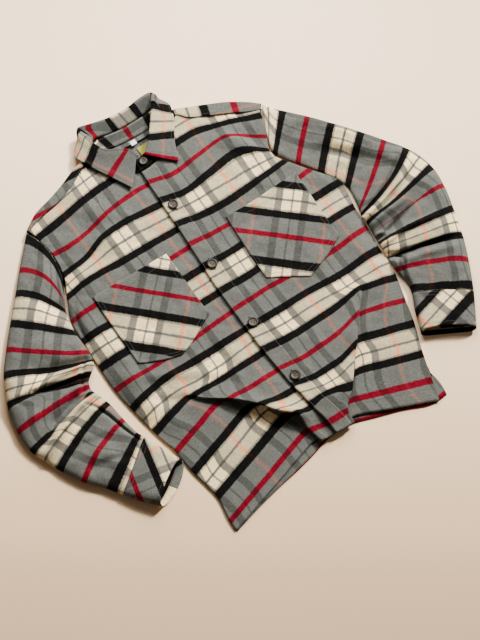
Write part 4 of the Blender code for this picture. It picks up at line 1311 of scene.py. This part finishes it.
# %% Tables of the sleeves
Section = namedtuple("Section", "drop outer_x outer_y mid_x mid_y inner_x inner_y outer_z mid_z inner_z")
SLEEVE_ROWS = {
    "right": [
        (-50, -209, 337, -195, 270, -219, 198, 12, 12, 11),
        (0, -255, 285, -225, 245, -223, 190, 16, 16, 12),
        (43, -283, 251, -252, 222, -229, 178, 18, 18, 12),
        (98, -318, 210, -280, 174, -236.5, 136, 20, 20, 13),
        (141, -347, 175, -294, 129, -236, 96, 22, 21, 14),
        (184, -374, 138, -310, 106, -239, 79, 22, 17, 17),
        (211, -385, 114, -326, 92, -243, 69, 23, 22, 21),
        (239, -396, 89, -345, 80, -254, 60, 22, 25, 24),
        (262, -402, 66, -330, 68, -264, 53, 20, 17, 15),
        (282, -405, 43, -345, 44, -267, 45, 20, 17, 15),
        (325, -403, 3, -350, 14, -267, 31, 16, 20, 19),
        (352, -394, -20, -333, 2, -262, 18, 15, 20, 19),
        (380, -382, -47, -323, -19, -257, 3, 15, 20, 17),
        (423, -361, -86, -311, -56, -252, -35, 16, 20, 17),
        (462, -335, -117, -290, -91, -246, -66, 17, 18, 16),
        (480, -321, -138, -283, -110, -241, -77, 17, 17, 15),
    ],
    "left": [
        (-82, 266, 313, 251, 286, 237, 260, 12, 12, 11),
        (-58, 278, 294, 252, 260, 227, 232, 14, 12, 10),
        (-43, 288, 281, 256, 250, 228, 221, 16, 12, 9),
        (0, 317, 246, 281, 214, 250, 183, 18, 12, 8),
        (43, 343, 211, 306, 179, 274, 147, 20, 13, 8),
        (98, 375, 167, 333, 132, 294, 97, 21, 14, 9),
        (141, 398, 132, 343, 89, 284, 50, 22, 15, 10),
        (184, 420, 97, 364, 64, 281, 42, 22, 20, 17),
        (211, 431, 71, 352, 42, 280, 31, 22, 19, 17),
        (239, 435, 42, 352, 27, 278.5, 20, 23, 19, 17),
        (282, 430, 1, 365, 4, 276, -1, 21, 17, 14),
        (325, 416, -43, 352, -33, 273.5, -20, 21, 19, 17),
        (352, 407, -67, 345, -52, 271.5, -33, 21, 19, 17),
        (380, 398, -92, 340, -68, 270, -50, 20, 17, 15),
        (423, 378, -133, 330, -104, 267, -76, 19, 18, 15),
        (462, 358, -169, 311, -141, 268, -114, 18, 18, 15),
        (474, 351, -181, 300, -147, 263, -126, 16, 17, 15),
    ],
}
CUFF_ROWS = {
    "right": [
        (0, -321, -138.7, -283, -110.7, -240.7, -77.7, 18, 18, 16),
        (30, -304, -162, -264, -137, -228, -108, 21, 20, 18),
        (62, -284, -185, -246, -156, -215, -141, 24, 23, 20),
    ],
    "left": [
        (0, 350.6, -181.7, 299.6, -147.7, 262.6, -126.7, 17, 18, 16),
        (30, 334, -206, 284, -173, 248, -154, 19, 19, 18),
        (62, 315, -233, 268, -202.5, 234, -188, 20, 20, 20),
    ],
}
SLEEVES, CUFFS = ({side: [Section(*row) for row in rows[side]] for side in SIDES}
                  for rows in (SLEEVE_ROWS, CUFF_ROWS))
RING = [(0.50, 0.0), (0.30, 0.0), (0.14, 0.0), (0.035, 0.12), (0.0, 0.45), (0.05, 0.84),
        (0.17, 1.0), (0.33, 1.0), (0.50, 1.0), (0.67, 1.0), (0.83, 1.0),
        (0.95, 0.84), (1.0, 0.45), (0.965, 0.12), (0.86, 0.0), (0.70, 0.0)]
RING_TOP = (4, 12)  # knots of the ring where its upper layer starts and ends
# Share of a sleeve's width, from its outer edge, where its orange stripe lies at each drop.
SLEEVE_ORANGE = {
    "left": [(-82, 1.0), (-4, 1.0), (52, 0.93), (98, 0.84), (141, 0.64), (184, 0.574), (325, 0.486),
             (366, 0.505), (432, 0.617), (480, 0.66)],
    "right": [(-50, -0.06), (480, -0.06)],
}
# Cloth that a sharp fold swallows: the weft line, how much of it is hidden, the shares of the width from
# the outer edge over which the fold deepens, and the share where it lets the cloth go again.
Tuck = namedtuple("Tuck", "drop hidden begins deepest ends")
TUCK_ROWS = {"right": [(163, 14, 0.5, 0.9, 1.2), (262, 16, 0.55, 0.95, 1.2), (302, 12, 0.7, 0.95, 1.2),
                       (325, 15.5, 0.38, 0.55, 0.86)],
             "left": [(211, 14, 0.5, 0.9, 1.2), (282, 10, 0.25, 0.55, 1.2), (380, 11, 0.3, 0.8, 1.2)]}
TUCKS = {side: [Tuck(*row) for row in TUCK_ROWS[side]] for side in SIDES}
RELEASE = 0.1
REACH = 26.0
WARP_STRETCH = {"right": 0.92, "left": 1.0}
print(len(SLEEVES["right"]), "sections on the right sleeve,", len(SLEEVES["left"]), "on the left")

# %% Sections of a flattened tube
def fine_ring(count):
    """The ring of shares and heights with more points, closed smoothly."""
    ring = np.array(RING)
    around = np.vstack([ring[-2:], ring, ring[:3]])
    stations = np.arange(-2, len(ring) + 3)
    return smooth(stations, around, np.linspace(0, len(ring), count + 1), held=True)


def tube_grid(table, stations, ring):
    """Closed sections: points, and how high each lies on its section."""
    names = "outer_x outer_y mid_x mid_y inner_x inner_y outer_z mid_z inner_z"
    rows = smooth([row.drop for row in table], spread(table, names), stations)
    ox, oy, mx, my, ix, iy, oz, mz, iz = rows.T[:, :, None]
    share, height = ring[:, 0][None], ring[:, 1][None]
    tops = np.stack([np.broadcast_to(v[:, 0], oz.shape[:1]) for v in (oz, oz, mz, iz, iz)])
    top = np.array([smooth((0, 0.2, 0.5, 0.8, 1), tops[:, i], ring[:, 0]) for i in range(len(stations))])
    bow = 4 * share * (1 - share) * np.minimum(1.0, height * 2)
    x = ox + share * (ix - ox) + bow * (mx - (ox + ix) / 2)
    y = oy + share * (iy - oy) + bow * (my - (oy + iy) / 2)
    return np.stack([x, y, height * top], 2)


def tube_creased(grid, ring, group):
    """The tube with creases on its upper side."""
    made = grid.copy()
    upper = np.clip(ring[:, 1][None] * 1.15 - 0.15, 0, 1)
    made[..., 2] += relief(group, grid[..., 0], grid[..., 1]) * upper
    return made


print("ring of", len(fine_ring(96)) - 1, "points")

# %% Make the sleeves
SLEEVE_ROUND = 136
SLEEVE_ROWS_FINE = 250
SLEEVE_WEFT = 155.0  # weft line at the sleeve's drop 0


def sleeve_places(side, table, stations, ring, grid):
    """Cloth places: weft from the drop, warp from the distance to the orange stripe."""
    outer = spread(table, "outer_x outer_y")
    inner = spread(table, "inner_x inner_y")
    width = smooth([row.drop for row in table], np.hypot(*(inner - outer).T), stations)
    orange = smooth(*zip(*SLEEVE_ORANGE[side]), stations)
    index = np.arange(len(ring))
    first, last = (knot * SLEEVE_ROUND / len(RING) for knot in RING_TOP)
    upper = (index >= first) & (index <= last)
    past = np.where(index < first, -ring[:, 0], 2 - ring[:, 0])
    share = np.where(upper, ring[:, 0], past)
    warp = (share[None] - orange[:, None]) * width[:, None] * WARP_STRETCH[side]
    weft = np.repeat((stations + SLEEVE_WEFT)[:, None], len(ring), 1)
    for tuck in TUCKS[side]:
        depth = tuck.hidden * np.interp(share, (tuck.begins, tuck.deepest, tuck.ends, tuck.ends + RELEASE),
                                        (0, 1, 1, 0))
        away = (stations - tuck.drop)[:, None]
        weft += np.sign(away) * depth / 2 * np.clip(1 - abs(away) / REACH, 0, 1)
    return np.stack([warp, weft], 2)


def make_sleeve(side):
    table = SLEEVES[side]
    stations = np.linspace(table[0].drop, table[-1].drop, SLEEVE_ROWS_FINE)
    ring = fine_ring(SLEEVE_ROUND)
    grid = tube_grid(table, stations, ring)
    places = sleeve_places(side, table, stations, ring, grid)
    grid = tube_creased(grid, ring, "sleeve_" + side)[:, :-1]
    return cloth_piece("shirt_sleeve_" + side, grid, places, CLOTH, around=True, flip=side == "left")


for side in SIDES:
    PIECES["sleeve_" + side] = make_sleeve(side)
print("sleeves:", [len(PIECES["sleeve_" + side].data.vertices) for side in SIDES], "points each")

# %% [markdown]
# ## The cuffs
#
# In each cuff's mouth the lower layer slips out from under the upper one and shows the cloth's inside.
# There the points get places of their own that paint the shade in the mouth: a band of black just inside
# it, and beyond that the dusky band in grey and cream on the lower layer. A second tube inside the first
# would show the same at twice the number of points.

# %% Make the cuffs
MOUTH_SLIP = {"right": 15.0, "left": 5.0}  # mm that the lower layer comes out past the upper one
MOUTH_FROM = 34.0
# The lower layer's black band is painted shade just inside the cuff's mouth.
PAINTED_MOUTH_SHADE = {"right": (46, 53.5), "left": (54, 99)}  # drops between which the lower layer is black
MOUTH_SHADE_WARP = (46.5, 57.0)  # warp lines that the lower layer runs through beyond the black
LOW_LAYER = 0.3
CUFF_ROWS_FINE = 32
# The rim's dusky warp and its grey and cream weft paint the shaded inside of the lower layer.
RIM_SHARES = [0.0, 0.449, 0.45, 1.0]
MOUTH_SHADE_WEFT = [210.0, 222.0, 169.0, 187.0]  # weft lines there: cream on the outer half, grey on the inner


def make_cuff(side):
    table = CUFFS[side]
    ring = fine_ring(SLEEVE_ROUND)
    drops = np.linspace(0, table[-1].drop, CUFF_ROWS_FINE)
    grid = tube_grid(table, drops, ring)
    places = bias_places("cuff_" + side, grid[..., 0], grid[..., 1])
    way = np.array([table[-1].mid_x - table[0].mid_x, table[-1].mid_y - table[0].mid_y])
    low = 1 - ring[:, 1]
    if side == "right":
        low = low * np.sin(np.pi * (0.08 + 0.84 * ring[:, 0])) ** 0.6
    slip = np.clip((drops - MOUTH_FROM) / (table[-1].drop - MOUTH_FROM), 0, 1)[:, None] * low
    grid[..., :2] += (slip * MOUTH_SLIP[side])[..., None] * way / np.hypot(*way)
    # Painted shade in the mouth: black cloth just inside it, then the dusky band on the lower layer.
    first, last = PAINTED_MOUTH_SHADE[side]
    lip = (drops[:, None] > first) & (drops[:, None] < last) & (low > LOW_LAYER)
    woven = places.copy()
    woven[..., 1] = np.where(lip, WEFT_BLACK, places[..., 1])
    rim = (drops[:, None] >= last) & (low > LOW_LAYER)
    warp = np.interp(drops, (last, table[-1].drop), MOUTH_SHADE_WARP)
    weft = np.interp(ring[:, 0], RIM_SHARES, MOUTH_SHADE_WEFT)
    woven[rim] = np.stack(np.broadcast_arrays(warp[:, None], weft), -1)[rim]
    return cloth_piece("sleeve_cuff_" + side, grid[:, :-1], woven, DOUBLED, around=True, flip=side == "left",
                       cut=places)


for side in SIDES:
    PIECES["cuff_" + side] = make_cuff(side)
print("cuffs are", CUFFS["left"][-1].drop, "mm deep")

# %% [markdown]
# ## Buttons
#
# Four-hole buttons of dark horn with a paler, olive middle, a raised rim and a dished centre. A lathe
# profile gives the round form, and a Boolean cuts the holes. The thread is two short bars.

# %% Finishes of the buttons and the thread
HORN_RIM = (0.0066, 0.0088)  # metres from the middle where the horn turns dark
BY_OBJECT = ("ShaderNodeTexCoord", "Object", {})
BY_CLOTH = ("ShaderNodeUVMap", "UV", {"uv_map": "cloth"})


def make_horn():
    made, tree, shader = fresh_material("mottled_horn")
    place = put(tree, "ShaderNodeTexCoord").outputs["Object"]
    parts = put(tree, "ShaderNodeSeparateXYZ", {"Vector": place}).outputs
    radius = sum_of(tree, "SQRT", sum_of(tree, "ADD", sum_of(tree, "MULTIPLY", parts["X"], parts["X"]),
                                         sum_of(tree, "MULTIPLY", parts["Y"], parts["Y"])))
    streak = noisy(tree, place, 260.0, 5.0, Distortion=1.4)
    spoiled = sum_of(tree, "ADD", radius, sum_of(tree, "MULTIPLY", streak, 0.004))
    middle = blend_of(tree, streak, shade("1e170e"), shade("574a30"))
    color = blend_of(tree, ranged(tree, spoiled, *HORN_RIM), middle, shade("120c08"))
    dress(tree, shader, streak, 0.2, 0.0003,
          {"Base Color": color, "Roughness": ranged(tree, streak, 0.0, 1.0, 0.4, 0.62),
           "Specular IOR Level": 0.3})
    return made


def make_ribbed(name, color, groove_shade, source, wave, bump, rough, sheen=0.0, **settings):
    """Thread or ribbon: fine ribs, with painted shade darkening their grooves; wave is the ribs' scale and
    distortion.
    """
    made, tree, shader = fresh_material(name)
    kind, output, options = source
    ribs = {"Vector": put(tree, kind, **options).outputs[output], "Scale": wave[0], "Distortion": wave[1]}
    rib = put(tree, "ShaderNodeTexWave", ribs, **settings).outputs["Fac"]
    # The grooves between the ribs are darker: painted shade.
    dress(tree, shader, rib, *bump,
          {"Base Color": blend_of(tree, rib, shade(color, groove_shade), shade(color)),
           "Roughness": ranged(tree, rib, 0.0, 1.0, *rough), "Sheen Weight": sheen})
    return made


def make_thread(name, color, sheen):
    return make_ribbed(name, color, 0.6, BY_OBJECT, (900.0, 2.0), (0.5, 0.0001), (0.6, 0.85), sheen)


horn = make_horn()
button_thread = make_thread("button_thread", "1c1815", 0.05)
grey_thread = make_thread("grey_thread", "4c4e4b", 0.1)
print("finishes:", horn.name, button_thread.name, grey_thread.name)

# %% Turn a button
BUTTON_RADIUS = 9.0
COLLAR_BUTTON_RADIUS = 7.5
BUTTON_HEIGHT = 3.0
BUTTON_STEPS = 56
BUTTON_PROFILE = [(0.0, 0.60), (0.2, 0.60), (0.45, 0.62), (0.56, 0.66), (0.66, 0.88), (0.74, 1.0),
                  (0.82, 1.0), (0.92, 0.92), (0.98, 0.76), (1.0, 0.58), (0.96, 0.26), (0.90, 0.1),
                  (0.75, 0.0), (0.0, 0.0)]
HOLE_AWAY = 0.23  # of the radius, from the middle in x and y
HOLE_RADIUS = 0.95
RIM_SHARP = math.radians(50)


def circle_of(count):
    """Angles round a full turn."""
    return np.linspace(0, 2 * math.pi, count, endpoint=False)


def lathe_form(radius):
    """The button's body, turned about its axis."""
    form = bmesh.new()
    rings = []
    for out, up in BUTTON_PROFILE:
        reach, height = out * radius * MM, up * BUTTON_HEIGHT * MM
        around = [(0, 0)] if out == 0 else [(math.cos(t), math.sin(t)) for t in circle_of(BUTTON_STEPS)]
        rings.append([form.verts.new((reach * x, reach * y, height)) for x, y in around])
    for upper, lower in zip(rings[:-1], rings[1:]):
        for i in range(BUTTON_STEPS):
            k = (i + 1) % BUTTON_STEPS
            corners = [upper[i % len(upper)], upper[k % len(upper)],
                       lower[k % len(lower)], lower[i % len(lower)]]
            form.faces.new(list(dict.fromkeys(corners))[::-1])
    bmesh.ops.recalc_face_normals(form, faces=form.faces)
    return form


print("a button's outline has", len(BUTTON_PROFILE), "points")

# %% Drill a button and place it
def hole_cutter(radius):
    """Four pins that cut the thread holes."""
    form = bmesh.new()
    for a in (-1, 1):
        for b in (-1, 1):
            made = bmesh.ops.create_cone(form, segments=20, cap_ends=True, radius1=HOLE_RADIUS * MM,
                                         radius2=HOLE_RADIUS * MM, depth=0.02)
            bmesh.ops.translate(form, verts=made["verts"], vec=Vector((a, b, 0)) * HOLE_AWAY * radius * MM)
    return piece_from(form, "hole_pins")


def make_button(name, radius, centre, normal, turn):
    """A button with its holes cut, placed on the cloth."""
    piece = piece_from(lathe_form(radius), name)
    cutter = hole_cutter(radius)
    cut = piece.modifiers.new("holes", "BOOLEAN")
    cut.object = cutter
    cut.solver = "EXACT"
    bpy.context.view_layer.update()
    drilled = bpy.data.meshes.new_from_object(piece.evaluated_get(bpy.context.evaluated_depsgraph_get()))
    piece.modifiers.clear()
    piece.data = drilled
    bpy.data.objects.remove(cutter)
    drilled.materials.clear()
    drilled.materials.append(horn)
    drilled.shade_smooth()
    drilled.set_sharp_from_angle(angle=RIM_SHARP)
    stand(piece, to_frame(centre), Vector(normal), turn)
    return piece


print("a button is", 2 * BUTTON_RADIUS, "mm wide, the collar's", 2 * COLLAR_BUTTON_RADIUS)

# %% [markdown]
# ## Stitching
#
# Topstitching is what shows how a shirt is put together, so every stitch is a small spindle of thread
# that lies on the cloth. A texture of dashes would be lighter but stays flat in a raking light.

# %% One stitch
STITCH = 2.3
PITCH = 3.3
FIRST_STITCH = 0.6
THREAD_SIDES = 6
THREAD_RADIUS = 0.30
BAR_RADIUS = 0.34
THREAD_UP = 0.12
TIP_DIP = 0.4
# Share of a stitch's length, share of its thickness there, and how far the thread stands up.
SPINDLE = [(0.12, 0.6, 0.0), (0.35, 1.0, 0.5), (0.65, 1.0, 0.5), (0.88, 0.6, 0.0)]


def add_spindle(form, start, end, radius):
    """A thread bar that is thick in the middle and dips at both ends."""
    axis = Vector(end - start)
    length = axis.length
    axis.normalize()
    side = axis.cross(Vector((0, 0, 1))).normalized()
    up = side.cross(axis)
    rings = []
    for share, size, lift in SPINDLE:
        centre = Vector(start) + axis * length * share + up * radius * lift
        rim = [centre + (side * math.cos(t) + up * math.sin(t)) * radius * size
               for t in circle_of(THREAD_SIDES)]
        rings.append([form.verts.new(to_frame(point)) for point in rim])
    tips = [form.verts.new(to_frame(Vector(tip) - up * radius * TIP_DIP)) for tip in (start, end)]
    for i in range(THREAD_SIDES):
        k = (i + 1) % THREAD_SIDES
        form.faces.new([tips[0], rings[0][k], rings[0][i]])
        form.faces.new([tips[1], rings[-1][i], rings[-1][k]])
        for first, second in zip(rings[:-1], rings[1:]):
            form.faces.new([first[i], first[k], second[k], second[i]])


print("a stitch is", STITCH, "mm of thread, one every", PITCH, "mm")

# %% A row of stitches
def stitch_rows(name, lines):
    """One piece with a spindle every pitch along each line of points."""
    form = bmesh.new()
    count = 0
    for points in lines:
        points = np.asarray(points, float)
        reach = np.concatenate([[0], np.cumsum(np.linalg.norm(np.diff(points, axis=0), axis=1))])
        for start in np.arange(FIRST_STITCH, reach[-1] - STITCH, PITCH):
            ends = (np.array([np.interp(place, reach, points[:, k]) for k in range(3)])
                    for place in (start, start + STITCH))
            add_spindle(form, *ends, THREAD_RADIUS)
            count += 1
    return piece_from(form, name, grey_thread), count


def above_front(side, across, drops, height):
    """Points over a front's cloth, in mm."""
    points = creased(on_front(side, across, drops), "body")
    points[..., 2] += height
    return points


ON_PATCH = PATCH_UP + THREAD_UP
STITCHES = {}
print("thread on a pocket lies", round(ON_PATCH, 2), "mm above the front")

# %% Stitch the band, the pockets and the hems
BAND_INSETS = (2.6, PLACKET_WIDTH - 2.4)
POCKET_INSETS = (0.014, 0.055)  # shares of the pocket's width
FOOT_INSET = 1.1  # of those, above the foot
POCKET_HEM = 0.095
HEM_DEEP = 12


def band_lines():
    drops = np.linspace(PLACKET_TOP + 4, HEM_DROP - 3, 320)
    return [above_front("left", across, drops, ON_PATCH) for across in BAND_INSETS]


def pocket_lines(side):
    """Round three sides twice over, and across under the top hem."""
    runs = []
    for inset in POCKET_INSETS:
        foot = 1 - inset * FOOT_INSET
        runs += [(share, np.linspace(0.02, foot, 90)) for share in (inset, 1 - inset)]
        runs.append((np.linspace(inset, 1 - inset, 120), foot))
    runs.append((np.linspace(0.01, 0.99, 120), POCKET_HEM))
    return [above_front(side, *pocket_outline(side, *np.broadcast_arrays(share, down)), ON_PATCH)
            for share, down in runs]


def hem_line(side):
    start = 2 if side == "right" else PLACKET_WIDTH + 2
    across = np.linspace(start, UNROLLED[side].shape[1] * CLOTH_STEP - 4, 260)
    return [above_front(side, across, np.full(260, HEM_DROP - HEM_DEEP), THREAD_UP)]


def stitch(lines_of):
    """Stitches each named piece along its lines."""
    for name, lines in lines_of.items():
        STITCHES[name], count = stitch_rows("stitches_" + name, lines)
        print(name, "has", count, "stitches")


stitch({"placket_band": band_lines(), **{"pocket_" + side: pocket_lines(side) for side in SIDES},
        **{"front_" + side: hem_line(side) for side in SIDES}})

# %% Stitch the yoke, the collar and the cuffs
YOKE_RUNS = [(0, 5.0), (11.1, 16)]  # first and last row of each shoulder's line
LEAF_ENDS = (0.3, 15.7)
LEAF_LINE_AT = 45.5  # where on the leaf's path its edge stitches run
STAND_RUN = (7.2, 12.4)
STAND_LINES_UP = (0.1, 0.86)
CUFF_LINES_AT = (2.5, 8.0, 56.0)  # drops
CURVED_UP, STAND_UP = 0.15, 0.3  # how far the thread is raised on curved cloth


def raised(points, height):
    """The points a little higher."""
    return np.asarray(points, float) + [0, 0, height]


def yoke_lines():
    return [raised(yoke_grid(np.linspace(a, b, 160), [YOKE_SEAM_AT])[0], THREAD_UP)
            for a, b in YOKE_RUNS]


def leaf_lines():
    edge = leaf_grid(np.linspace(*LEAF_ENDS, 500), [LEAF_LINE_AT])[0]
    ends = [leaf_grid([station], np.linspace(20, LEAF_LINE_AT, 60))[:, 0] for station in LEAF_ENDS]
    return [raised(line, CURVED_UP) for line in (edge, *ends)]


def stand_lines():
    stations = np.linspace(*STAND_RUN, 200)
    return [raised(stand_grid(stations, [share])[0], STAND_UP) for share in STAND_LINES_UP]


def cuff_lines(side):
    ring = np.column_stack([np.linspace(0.1, 0.9, 90), np.ones(90)])
    grid = tube_grid(CUFFS[side], np.array(CUFF_LINES_AT), ring)
    return [raised(line, CURVED_UP) for line in grid]


stitch({"yoke": yoke_lines(), "collar_leaf": leaf_lines(), "collar_stand": stand_lines(),
        **{"cuff_" + side: cuff_lines(side) for side in SIDES}})

# %% [markdown]
# ## Sewing the buttons on
#
# Each button lies square to the band under it. Its buttonhole runs down the band, so a few bars of its
# satin edge show above and below the button. Buttons could be snapped to the cloth by hand, but two short
# lines on the cloth give its tilt at any place, and the buttons follow when a crease is changed.

# %% Sew on the buttons
BUTTON_DROPS = (214, 343, 476, 603)
BUTTON_ACROSS = 16.0
COLLAR_BUTTON_STATION = 17.4
BUTTON_TURN = (0.3, 0.9, 0.1, 0.6, 0.35)
STRANDS_APART = 0.28
STRANDS_UP = 0.64  # of the button's height
PLAN_OFFSET = np.array([*PLAN_CENTRE, 0.0])


def sew_thread(name, radius, centre, normal, turn):
    """Two bars of thread over the four holes, in the button's own place."""
    form = bmesh.new()
    away = HOLE_AWAY * radius
    for a in (-1, 1):
        for shift in (-STRANDS_APART, STRANDS_APART):
            start = np.array([a * away + shift, -away, STRANDS_UP * BUTTON_HEIGHT])
            add_spindle(form, start + PLAN_OFFSET, start * [1, -1, 1] + PLAN_OFFSET, BAR_RADIUS)
    piece = piece_from(form, name, button_thread)
    stand(piece, to_frame(centre), Vector(normal), turn)
    return piece


BUTTONS = []
collar_spot = stand_grid([COLLAR_BUTTON_STATION], (0.5,))[0, 0] + [0, 0, CLOTH + SEAM_GAP]
spots = [(collar_spot, np.array([0, 0, 1.0]))]
for drop in BUTTON_DROPS:
    across, drops = np.meshgrid((6, BUTTON_ACROSS, 26), (drop - 10, drop, drop + 10))
    patch = above_front("left", across, drops, 0.0)
    normal = np.cross(patch[2, 1] - patch[0, 1], patch[1, 2] - patch[1, 0])
    normal /= np.linalg.norm(normal)
    highest = max((patch.reshape(-1, 3) - patch[1, 1]) @ normal)
    spots.append((patch[1, 1] + normal * (highest + SEAM_GAP * 2 + PATCH), normal))
for number, ((centre, normal), turn) in enumerate(zip(spots, BUTTON_TURN), 1):
    radius = COLLAR_BUTTON_RADIUS if number == 1 else BUTTON_RADIUS
    button = make_button("horn_button_%d" % number, radius, centre, normal, turn)
    thread = sew_thread("button_thread_%d" % number, radius, centre, normal, turn)
    BUTTONS.append((button, thread))
print("sewn on", len(BUTTONS), "buttons")

# %% Work the buttonholes
BAR_PITCH = 0.62
BAR_HALF = 1.3


def buttonhole_bars(form, drop):
    """Satin bars round the two ends of a buttonhole that show past the button."""
    across = np.array([BUTTON_ACROSS - BAR_HALF, BUTTON_ACROSS + BAR_HALF])
    for away in (*np.arange(-13.0, -8.0, BAR_PITCH), *np.arange(8.0, 13.4, BAR_PITCH)):
        add_spindle(form, *above_front("left", across, np.full(2, drop + away), ON_PATCH), BAR_RADIUS)


form = bmesh.new()
for drop in BUTTON_DROPS:
    buttonhole_bars(form, drop)
buttonholes = piece_from(form, "buttonholes", button_thread)
print("buttonholes have", len(buttonholes.data.vertices), "points")

# %% [markdown]
# ## Labels
#
# A bright woven label and a small white size tab are sewn inside the back of the neck. Both are left
# bare. They are thin ribbons with a fine rib, and they curl a little at their free edge.

# %% Make the labels
TAPE = 0.6
Plate = namedtuple("Plate", "name node slot left right foot top rise color curl")
PLATES = [
    Plate("woven_label", "neck_label", "label", 36, 67, 352, 369, 2.8, "8e8800", 0.8),
    Plate("white_size_tab", "size_tab", "tab", 31.5, 41.6, 375, 384, 7.2, "eceae4", 0.3),
]


def make_ribbon(name, color):
    return make_ribbed(name, color, 0.8, BY_CLOTH, (420.0, 0.4), (0.4, 0.0002), (0.55, 0.75),
                       bands_direction="Y")


LABELS = []
for plate in PLATES:
    x, y = np.meshgrid(np.linspace(plate.left, plate.right, 34), np.linspace(plate.top, plate.foot, 20))
    low = (plate.top - y) / (plate.top - plate.foot)
    grid = np.stack([x, y, plate.rise + plate.curl * low ** 3], 2)
    ribbon = make_ribbon(plate.name, plate.color)
    piece = cloth_piece(plate.name, grid, np.stack([x, y], 2), TAPE, finish=ribbon)
    LABELS.append((piece, plate))
print("labels:", [piece.name for piece, _ in LABELS])

# %% [markdown]
# ## Tying the pieces to the shirt
#
# Every piece rides on the shirt's one body and stands for its solid. Each is a sheet of cloth that was
# cut to a flat size before it was laid down, and that size is worked out for it.

SEAM_ALLOWED = 10.2  # the size tab's length with what its seam takes up
TAB_LEAST = 0.8  # share of the tab's flat size that its cloth fills at least


def declare(piece, node, extras):
    """Ties one cloth piece and its extras to the frame, hides its solid and works out what it was cut to."""
    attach(piece, "root")
    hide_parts(node)
    for extra in extras:
        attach(extra, "root")
    width, length, area = CUTS[piece.name]
    length = max(length, SEAM_ALLOWED)
    least = TAB_LEAST * width * length if node == "size_tab" else 0.0
    area = min(max(area, least), width * length)


for node, piece in PIECES.items():
    extras = [STITCHES[node]] if node in STITCHES else []
    if node == "placket_band":
        extras.append(buttonholes)
    declare(piece, node, extras)
for piece, plate in LABELS:
    declare(piece, plate.node, [])
for number, (button, thread) in enumerate(BUTTONS, 1):
    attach(button, "root")
    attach(thread, "root")
    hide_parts("button_%d" % number)
print("declared", len(PIECES) + len(LABELS), "sheets")

# %% Check the size and finish
low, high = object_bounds()
print("visual size in mm", [round((b - a) * 1000, 1) for a, b in zip(low, high)])
